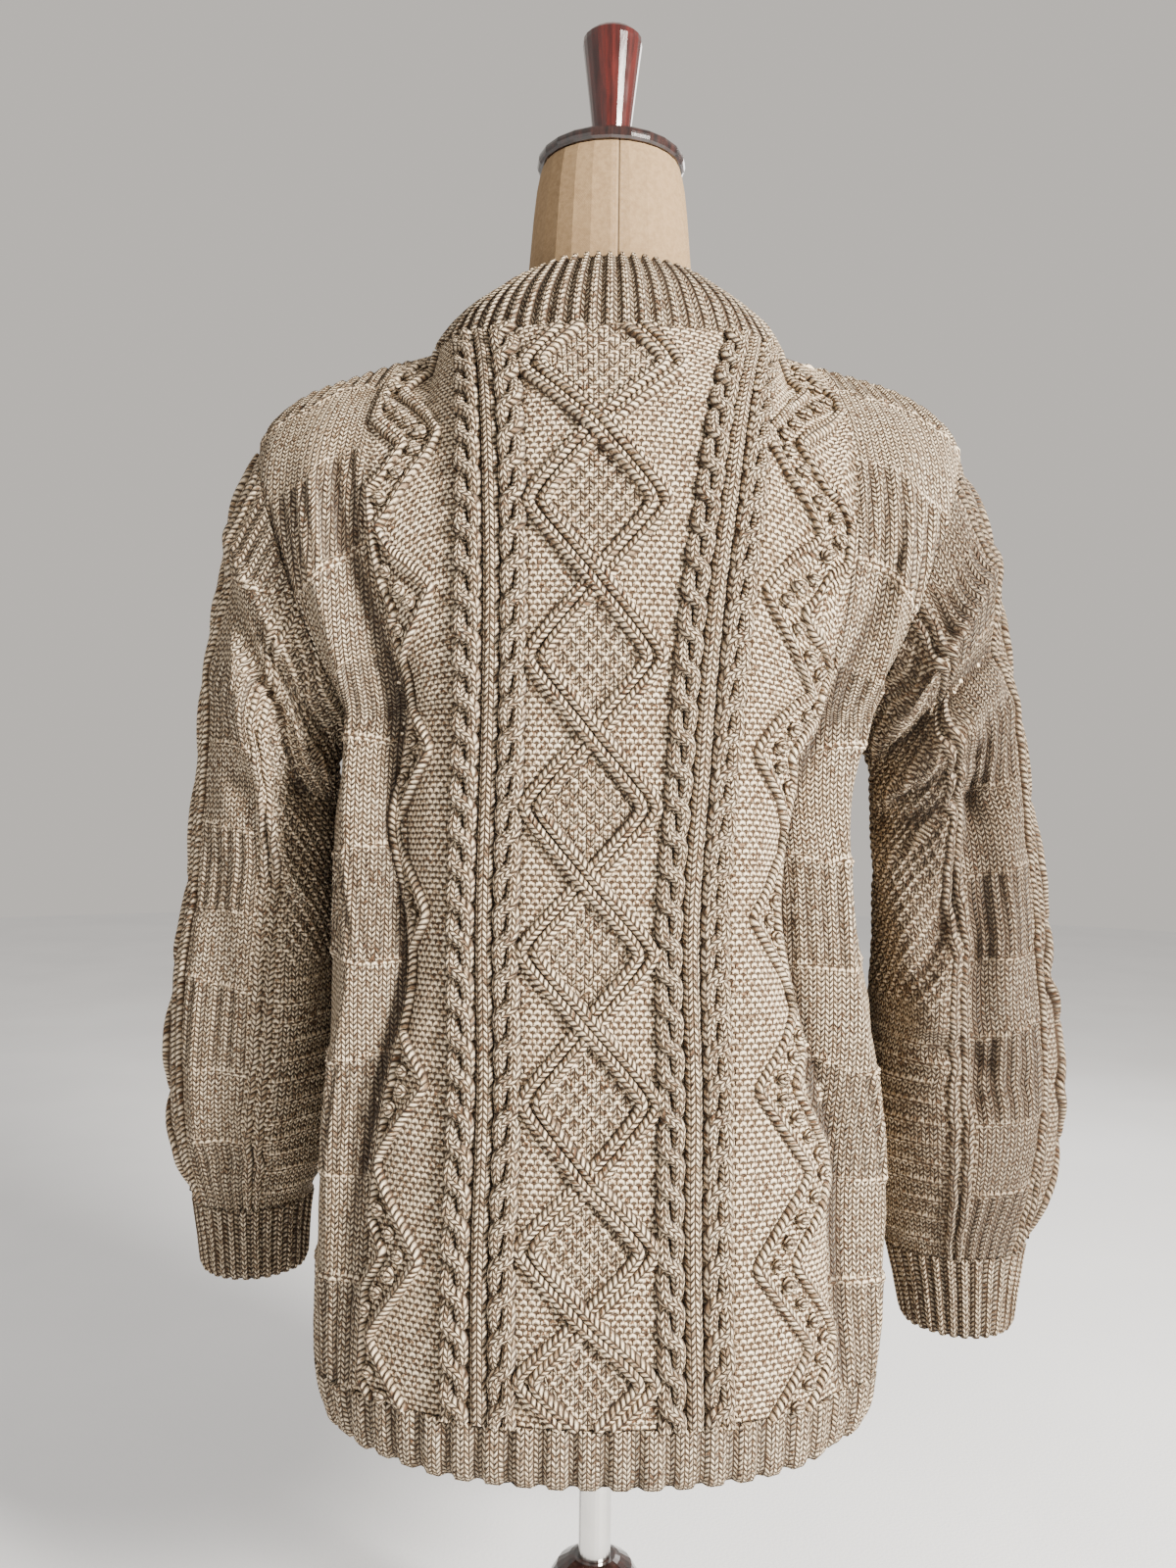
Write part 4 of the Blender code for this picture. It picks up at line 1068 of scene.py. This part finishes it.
def rib_relief(place, pitch, depth, share=0.62):
    """Rise and shade of ribs across a cloth; share is how much of the pitch is raised."""
    wave = 0.5 + 0.5 * np.cos(2 * math.pi * place / pitch)
    ridge = smooth(0.5 - share / 2 - 0.12, 0.72 - share / 4, wave)
    return depth * ridge - depth * 0.35, 0.6 * (1.0 - ridge) ** 1.5


WELT_RIB_PITCH = 0.0195
CUFF_RIBS = 30


def edge_fade(cloth):
    """0 at the cloth's free lower edge, 1 above it."""
    return smooth(0.0, 0.006, cloth.up)


def make_welt(face, material):
    heights = np.linspace(HEM, WELT_TOP, 5 * INNER_STRIDE + 1)
    cloth = panel_cloth(face, heights)
    rise, shade = rib_relief(cloth.across + 0.004, WELT_RIB_PITCH, 0.0036)
    rise += 0.0006 * waver(cloth.across, cloth.up, 0.02, 8)
    rise -= 0.0022 * (1 - edge_fade(cloth))
    welt = knit_shell(f"{face}_welt_knit", cloth, rise + 0.0010, 0.0, shade, material)
    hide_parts(f"{face}_welt")
    return welt


def make_cuff(hand, table, folds, side, painted_shade, material):
    cloth = sleeve_cloth(table, folds, side, 1.0, 1.10, CUFF_SPAN)
    rise, shade = rib_relief(cloth.across, SLEEVE_GIRTH / CUFF_RIBS, 0.0034, 0.5)
    rise += 0.0005 * waver(cloth.across, cloth.up, 0.02, 9)
    rise -= 0.0020 * (1 - edge_fade(cloth))
    maps = np.stack((cloth.across / SLEEVE_GIRTH * 2 * CUFF_RIBS + 0.5, cloth.up / ROW), axis=-1)
    cuff = knit_shell(f"cuff_{hand}_knit", cloth, rise + 0.0006, 0.0, shade + painted_shade, material, maps)
    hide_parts(f"cuff_{hand}")
    return cuff


BAND_RIBS = 66
BAND_ROLL = 0.0033  # half the thickness of the folded band
BAND_TURN = 0.93  # share of the band's height where its fold begins


def make_neckband(material):
    """The band, knitted double: up the outside, over the fold and down the inside."""
    shares = np.linspace(0.0, NECK_SHARE, 137)
    back = top_edge("back", shares)
    front = top_edge("front", shares)
    right = np.concatenate((back, front[-2::-1]))
    ring = np.concatenate((right, (right * np.array((-1.0, 1.0, 1.0)))[-2::-1]))
    angle = np.concatenate((shares / NECK_SHARE * 90.0, 180.0 - shares[-2::-1] / NECK_SHARE * 90.0))
    angle = np.radians(np.concatenate((angle, 360.0 - angle[-2::-1])))
    end = np.where(np.cos(angle) > 0, BAND_TOP["back"], BAND_TOP["front"]) - BAND_TOP["side"]
    tall = BAND_TOP["side"] + end * np.cos(angle) ** 2
    x = BAND_HALF_WIDTH * np.sin(angle)
    top = np.stack((x, BAND_CENTRE - BAND_HALF_DEPTH * np.cos(angle), tall), axis=-1)
    out = np.stack((np.sin(angle), -np.cos(angle), np.full_like(angle, 0.35)), axis=-1)
    out /= np.linalg.norm(out, axis=1, keepdims=True)
    rise = top - ring
    rise /= np.linalg.norm(rise, axis=1, keepdims=True)
    length = np.linalg.norm(top - ring, axis=1).mean()
    run = np.concatenate(([0.0], np.cumsum(np.linalg.norm(np.diff(top, axis=0), axis=1))))
    rib = np.cos(2 * math.pi * BAND_RIBS * run / run[-1])
    ridge = smooth(-0.35, 0.75, rib)
    profile = [(t, 0.0, 0.0, 1.0) for t in np.linspace(0.0, BAND_TURN, 24)]
    for turn in np.linspace(0.0, math.pi, 9)[1:-1]:
        profile.append((BAND_TURN, BAND_ROLL * (1 - math.cos(turn)), BAND_ROLL * math.sin(turn), 1.0))
    profile += [(t, 2 * BAND_ROLL, 0.0, 0.5) for t in np.linspace(BAND_TURN, 0.0, 10)]
    rows = []
    for t, sink, lift, relief in profile:
        wave = waver(run, np.full_like(run, t * length), 0.02, 11) * 0.0006
        bulge = BAND_BULGE * math.sin(math.pi * t)
        swell = relief * (0.0034 * ridge - 0.0016) + wave
        away = math.cos(math.pi * min(sink / (2 * BAND_ROLL), 1.0))
        point = ring + (top - ring) * t + out * (bulge - sink + swell * away)[:, None]
        point += rise * (lift + swell * math.sin(math.pi * min(sink / (2 * BAND_ROLL), 1.0)))[:, None]
        rows.append(point)
    points = np.array(rows)
    points[:, -1] = points[:, 0]
    steps = np.linalg.norm(np.diff(points, axis=0), axis=2).mean(axis=1)
    height = np.concatenate(([0.0], np.cumsum(steps)))
    wales = run / run[-1] * BAND_RIBS * 2 + 0.5
    maps = np.stack(np.broadcast_arrays(wales[None], height[:, None] / ROW), axis=-1)
    shade = np.broadcast_to(0.55 * (1.0 - ridge) ** 1.5, points.shape[:2])
    shape = Shape()
    middle = points.mean(axis=(0, 1))
    normal = np.cross(points[0, 1] - points[0, 0], points[1, 0] - points[0, 0])
    turned = (points[0, 0] - middle) @ normal < 0
    index = shape.add_grid(points, maps, 0.0, shade, wrap=True, turned=turned)
    shape.join(np.stack((index[-1], index[0])), maps[[-1, -2]], turned)
    band = shape.build("neckband_knit", material)
    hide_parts("neckband")
    return band


class Graph:
    """A material and a short way to write the maths of its nodes."""

    def __init__(self, name):
        self.material = bpy.data.materials.new(name)
        self.material.use_nodes = True
        self.nodes = self.material.node_tree.nodes
        self.links = self.material.node_tree.links
        self.shader = self.nodes["Principled BSDF"]

    def feed(self, socket, value):
        if isinstance(value, bpy.types.NodeSocket):
            self.links.new(value, socket)
        elif isinstance(value, tuple) and len(value) == 3 and socket.type == "RGBA":
            socket.default_value = (*value, 1.0)
        else:
            socket.default_value = value

    def math(self, operation, *values, clamp=False):
        node = self.nodes.new("ShaderNodeMath")
        node.operation = operation
        node.use_clamp = clamp
        for socket, value in zip(node.inputs, values):
            self.feed(socket, value)
        return node.outputs[0]

    def range(self, value, low, high, to_low=0.0, to_high=1.0):
        node = self.nodes.new("ShaderNodeMapRange")
        node.interpolation_type = "SMOOTHSTEP"
        for socket, given in zip(node.inputs, (value, low, high, to_low, to_high)):
            self.feed(socket, given)
        return node.outputs[0]

    def mix(self, share, first, second):
        node = self.nodes.new("ShaderNodeMix")
        node.data_type = "RGBA"
        self.feed(node.inputs[0], share)
        self.feed(node.inputs[6], first)
        self.feed(node.inputs[7], second)
        return node.outputs[2]

    def blend(self, share, first, second):
        """A number between two others."""
        node = self.nodes.new("ShaderNodeMix")
        for socket, value in zip(node.inputs, (share, None, first, second)):
            if value is not None:
                self.feed(socket, value)
        return node.outputs[0]

    def vector(self, x, y, z=0.0):
        node = self.nodes.new("ShaderNodeCombineXYZ")
        for socket, value in zip(node.inputs, (x, y, z)):
            self.feed(socket, value)
        return node.outputs[0]

    def noise(self, vector, scale, detail=2.0, roughness=0.5):
        node = self.nodes.new("ShaderNodeTexNoise")
        self.feed(node.inputs["Vector"], vector)
        self.feed(node.inputs["Scale"], scale)
        self.feed(node.inputs["Detail"], detail)
        self.feed(node.inputs["Roughness"], roughness)
        return node.outputs[0]

    def chance(self, vector):
        node = self.nodes.new("ShaderNodeTexWhiteNoise")
        node.noise_dimensions = "2D"
        self.feed(node.inputs["Vector"], vector)
        return node.outputs["Value"]

    def object_place(self):
        node = self.nodes.new("ShaderNodeTexCoord")
        split = self.nodes.new("ShaderNodeSeparateXYZ")
        self.links.new(node.outputs["Object"], split.inputs[0])
        return node.outputs["Object"], split.outputs

    def bump(self, height, distance):
        node = self.nodes.new("ShaderNodeBump")
        node.inputs["Strength"].default_value = 1.0
        node.inputs["Distance"].default_value = distance
        self.links.new(height, node.inputs["Height"])
        return node.outputs[0]

    def finish(self, colour, normal, **values):
        self.feed(self.shader.inputs["Base Color"], colour)
        self.links.new(normal, self.shader.inputs["Normal"])
        for name, value in values.items():
            self.feed(self.shader.inputs[name.replace("_", " ").title().replace("Ior", "IOR")], value)
        return self.material


CREAM = (1.00, 0.83, 0.60)
OATMEAL = (0.72, 0.54, 0.345)
BROWN = (0.15, 0.080, 0.042)
# the dark brown of painted shadow
PAINTED_SHADOW = (0.050, 0.029, 0.017)
LEG_SLOPE = 1.5  # rows that a stitch's leg climbs from the wale's middle to half a wale's width


def knit_material():
    """Marled wool in knit and purl stitches, with painted shadow in the gaps between stitches and painted
    shade from the shade attribute.
    """
    g = Graph("knitted_wool")
    place = g.nodes.new("ShaderNodeUVMap")
    place.uv_map = "stitch"
    split = g.nodes.new("ShaderNodeSeparateXYZ")
    g.links.new(place.outputs[0], split.inputs[0])
    u, v = split.outputs[0], split.outputs[1]
    ground = g.nodes.new("ShaderNodeAttribute")
    ground.attribute_name = "purl"
    purl = g.range(ground.outputs["Fac"], 0.3, 0.7)

    side = g.math("SUBTRACT", g.math("FRACT", u), 0.5)
    away = g.math("ABSOLUTE", side)
    climb = g.math("SUBTRACT", v, g.math("MULTIPLY", away, LEG_SLOPE))
    leg = g.math("SINE", g.math("MULTIPLY", g.math("FRACT", climb), math.pi))
    split_line = g.range(away, 0.0, 0.12, 0.30, 1.0)
    border = g.range(away, 0.5, 0.35, 0.15, 1.0)
    knit = g.math("MULTIPLY", g.math("MULTIPLY", leg, split_line), border)

    parity = g.math("GREATER_THAN", g.math("FRACT", g.math("MULTIPLY", v, 0.5)), 0.5)
    brick = g.math("MULTIPLY_ADD", parity, 0.5, u)
    beside = g.math("SUBTRACT", g.math("FRACT", brick), 0.5)
    arch = g.math("COSINE", g.math("MULTIPLY", beside, 2 * math.pi))
    line = g.math("SUBTRACT", g.math("FRACT", v), g.math("MULTIPLY_ADD", arch, 0.13, 0.5))
    bump = g.math("DIVIDE", line, 0.43)
    bump = g.math("SUBTRACT", 1.0, g.math("MULTIPLY", bump, bump), clamp=True)
    ends = g.range(g.math("ABSOLUTE", beside), 0.5, 0.34, 0.30, 1.0)
    bump = g.math("MULTIPLY", g.math("POWER", bump, 0.6), ends)
    height = g.blend(purl, knit, bump)

    along = g.blend(purl, climb, v)
    fibre_place = g.vector(g.math("MULTIPLY", u, 2.6), g.math("MULTIPLY", along, 1.5))
    fibre = g.noise(fibre_place, 1.0, 2.0, 0.6)
    stitch = g.chance(g.vector(g.math("FLOOR", g.math("MULTIPLY", u, 2.0)), g.math("FLOOR", along)))
    tone = g.math("ADD", g.math("MULTIPLY", fibre, 0.85), g.math("MULTIPLY", stitch, 0.15))
    marl = g.mix(g.range(tone, 0.40, 0.46), BROWN, OATMEAL)
    marl = g.mix(g.range(tone, 0.46, 0.53), marl, CREAM)
    patch = g.noise(g.vector(g.math("MULTIPLY", u, 0.12), g.math("MULTIPLY", v, 0.10)), 1.0, 2.0)
    marl = g.mix(g.range(patch, 0.35, 0.65, 0.0, 0.30), marl, OATMEAL)
    # Painted shadow in the gaps between stitches, where the stitch height is low.
    gap_shadow = g.range(height, 0.12, 0.86, 0.97, 0.0)
    colour = g.mix(gap_shadow, marl, PAINTED_SHADOW)
    # The shade attribute adds painted shade: creases, rib gutters, moss lows, strand edges and the sleeves'
    # extra darkening.
    dim = g.nodes.new("ShaderNodeAttribute")
    dim.attribute_name = "shade"
    colour = g.mix(g.math("MULTIPLY", dim.outputs["Fac"], 0.85), colour, PAINTED_SHADOW)

    fuzz = g.noise(g.object_place()[0], 1500.0, 2.0, 0.6)
    shape = g.math("ADD", height, g.math("MULTIPLY", fuzz, 0.22))
    normal = g.bump(shape, 0.0036)
    matt = {"roughness": 0.95, "specular_ior_level": 0.1}
    return g.finish(colour, normal, sheen_weight=0.06, sheen_roughness=0.5, **matt)


def linen_material():
    g = Graph("form_linen")
    place, split = g.object_place()
    across = g.math("SINE", g.math("MULTIPLY", split[0], 2 * math.pi / 0.0011))
    upward = g.math("SINE", g.math("MULTIPLY", split[2], 2 * math.pi / 0.0011))
    weave = g.math("MULTIPLY", across, upward)
    slub = g.noise(place, 260.0, 3.0, 0.7)
    shade = g.noise(place, 9.0, 3.0)
    colour = g.mix(g.range(slub, 0.3, 0.7), (0.22, 0.142, 0.074), (0.30, 0.202, 0.110))
    colour = g.mix(g.range(shade, 0.3, 0.7, 0.0, 0.5), colour, (0.26, 0.172, 0.092))
    colour = g.mix(g.range(weave, -1.0, 1.0, 0.10, 0.0), colour, (0.30, 0.22, 0.15))
    beside = g.math("ABSOLUTE", g.math("SUBTRACT", split[0], 0.005))
    behind = g.math("LESS_THAN", split[1], 0.0)
    seam = g.math("MULTIPLY", g.range(beside, 0.0014, 0.0), behind)
    colour = g.mix(g.math("MULTIPLY", seam, 0.45), colour, (0.26, 0.19, 0.13))
    dots = g.math("SINE", g.math("MULTIPLY", split[2], 2 * math.pi / 0.0042))
    stitched = g.range(g.math("ABSOLUTE", g.math("SUBTRACT", beside, 0.0030)), 0.0007, 0.0002)
    stitched = g.math("MULTIPLY", g.math("MULTIPLY", stitched, behind), g.range(dots, 0.0, 0.5))
    colour = g.mix(g.math("MULTIPLY", stitched, 0.4), colour, (0.30, 0.22, 0.16))
    depth = g.math("ADD", g.math("MULTIPLY", weave, 0.12), g.math("MULTIPLY", slub, 0.5))
    depth = g.math("SUBTRACT", depth, g.math("MULTIPLY", seam, 2.0))
    return g.finish(colour, g.bump(depth, 0.0005), roughness=0.9, specular_ior_level=0.2)


def lacquer_material(name, deep, bright, streak):
    """Lacquered wood with a faint lengthwise grain under the gloss."""
    g = Graph(name)
    place, split = g.object_place()
    scaled = [g.math("MULTIPLY", axis, scale) for axis, scale in zip(split, (220.0, 220.0, streak))]
    grain = g.noise(g.vector(*scaled), 1.0, 4.0, 0.6)
    colour = g.mix(g.range(grain, 0.35, 0.70), deep, bright)
    smear = g.noise(place, 40.0, 2.0)
    rough = g.range(smear, 0.3, 0.7, 0.16, 0.26)
    pores = g.bump(grain, 0.00012)
    return g.finish(colour, pores, roughness=rough, coat_weight=0.7, coat_roughness=0.06)


def steel_material():
    g = Graph("polished_steel")
    place, split = g.object_place()
    rings = g.noise(g.vector(0.0, 0.0, g.math("MULTIPLY", split[2], 2600.0)), 1.0, 2.0)
    smudge = g.noise(place, 30.0, 3.0)
    colour = g.mix(g.range(smudge, 0.3, 0.7), (0.60, 0.59, 0.57), (0.70, 0.69, 0.67))
    uneven = g.math("ADD", g.math("MULTIPLY", rings, 0.5), g.math("MULTIPLY", smudge, 0.5))
    rough = g.range(uneven, 0.3, 0.7, 0.14, 0.28)
    return g.finish(colour, g.bump(rings, 0.00003), metallic=1.0, roughness=rough)


def floor_material():
    g = Graph("pale_floor")
    place, _ = g.object_place()
    tone = g.noise(place, 3.0, 3.0)
    colour = g.mix(g.range(tone, 0.3, 0.7), (0.80, 0.81, 0.83), (0.84, 0.85, 0.87))
    return g.finish(colour, g.bump(g.noise(place, 300.0, 2.0), 0.0003), roughness=0.75)


def dress_node(name, material):
    """Gives a CAD node that stays its finished material."""
    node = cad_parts[name]
    for held in node.material_slots:
        held.material = material


def make_stand():
    dress_node("form", linen_material())
    dark = lacquer_material("dark_lacquer", (0.006, 0.003, 0.003), (0.030, 0.010, 0.008), 14.0)
    red = lacquer_material("red_lacquer", (0.022, 0.0025, 0.002), (0.070, 0.007, 0.005), 6.0)
    for name in ("neck_cap", "hub", "base"):
        dress_node(name, dark)
    dress_node("finial", red)
    dress_node("pole", steel_material())


def make_sweater():
    wool = knit_material()
    for face in ("back", "front"):
        cloth = panel_cloth(face)
        pattern = BodyPattern(cloth, 1.0 if face == "back" else 0.4)
        panel = knit_shell(f"{face}_knit", cloth, *body_ground(pattern), wool)
        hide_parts(face)
        cables = body_cables(f"{face}_cables", pattern, wool)
        welt = make_welt(face, wool)
    # The last number is each sleeve's painted shade, much more on the right one; its cuff gets a share of
    # it.
    for hand, table, folds, side, painted_shade in (
        ("left", LEFT_SLEEVE, (LEFT_SLEEVE_FOLDS, LEFT_SLEEVE_CREASES), -1.0, 0.10),
        ("right", RIGHT_SLEEVE, (RIGHT_SLEEVE_FOLDS, RIGHT_SLEEVE_CREASES), 1.0, 0.70),
    ):
        cloth = sleeve_cloth(table, folds, side, 0.0, 1.0, SLEEVE_SPAN)
        sleeve = knit_shell(f"sleeve_{hand}_knit", cloth, *sleeve_ground(cloth, painted_shade), wool)
        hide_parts(f"sleeve_{hand}")
        cables = sleeve_cables(f"sleeve_{hand}_cables", cloth, painted_shade, wool)
        cuff = make_cuff(hand, table, folds, side, 0.3 * painted_shade, wool)
    band = make_neckband(wool)


def make_floor():
    bpy.ops.mesh.primitive_circle_add(vertices=96, radius=6.0, fill_type="NGON")
    floor = bpy.context.object
    floor.name = "floor"
    floor.data.materials.append(floor_material())


def area_light(name, place, target, size, power, colour):
    data = bpy.data.lights.new(name, "AREA")
    data.shape = "DISK"
    data.size = size
    data.energy = power
    data.color = colour
    light = bpy.data.objects.new(name, data)
    bpy.context.scene.collection.objects.link(light)
    light.location = place
    aim = Vector(target) - Vector(place)
    light.rotation_euler = aim.to_track_quat("-Z", "Y").to_euler()


def make_lights():
    area_light("window", (1.8, -1.6, 1.55), (0.0, 0.0, 0.70), 0.7, 315.0, (1.0, 0.945, 0.86))
    area_light("fill", (-1.8, -1.2, 1.1), (0.0, 0.0, 0.7), 1.6, 6.0, (1.0, 0.97, 0.94))
    area_light("behind", (0.8, 1.9, 1.6), (0.0, 0.0, 0.8), 1.4, 22.0, (1.0, 0.98, 0.96))
    world = bpy.data.worlds.new("studio")
    world.use_nodes = True
    background = world.node_tree.nodes["Background"]
    background.inputs[0].default_value = (0.90, 0.85, 0.79, 1.0)
    background.inputs[1].default_value = 0.72
    bpy.context.scene.world = world


def make_camera():
    data = bpy.data.cameras.new("camera")
    data.lens = 28.8
    data.sensor_width = 36.0
    data.clip_start = 0.02
    camera = bpy.data.objects.new("camera", data)
    bpy.context.scene.collection.objects.link(camera)
    turn = Matrix.Rotation(math.radians(0.716), 4, "Z")
    tilt = Matrix.Rotation(math.radians(90.0), 4, "X")
    roll = Matrix.Rotation(math.radians(0.69), 4, "Z")
    camera.matrix_world = Matrix.Translation((0.0, -0.900, 0.692)) @ turn @ tilt @ roll
    bpy.context.scene.camera = camera


make_sweater()
make_stand()
make_floor()
make_lights()
make_camera()
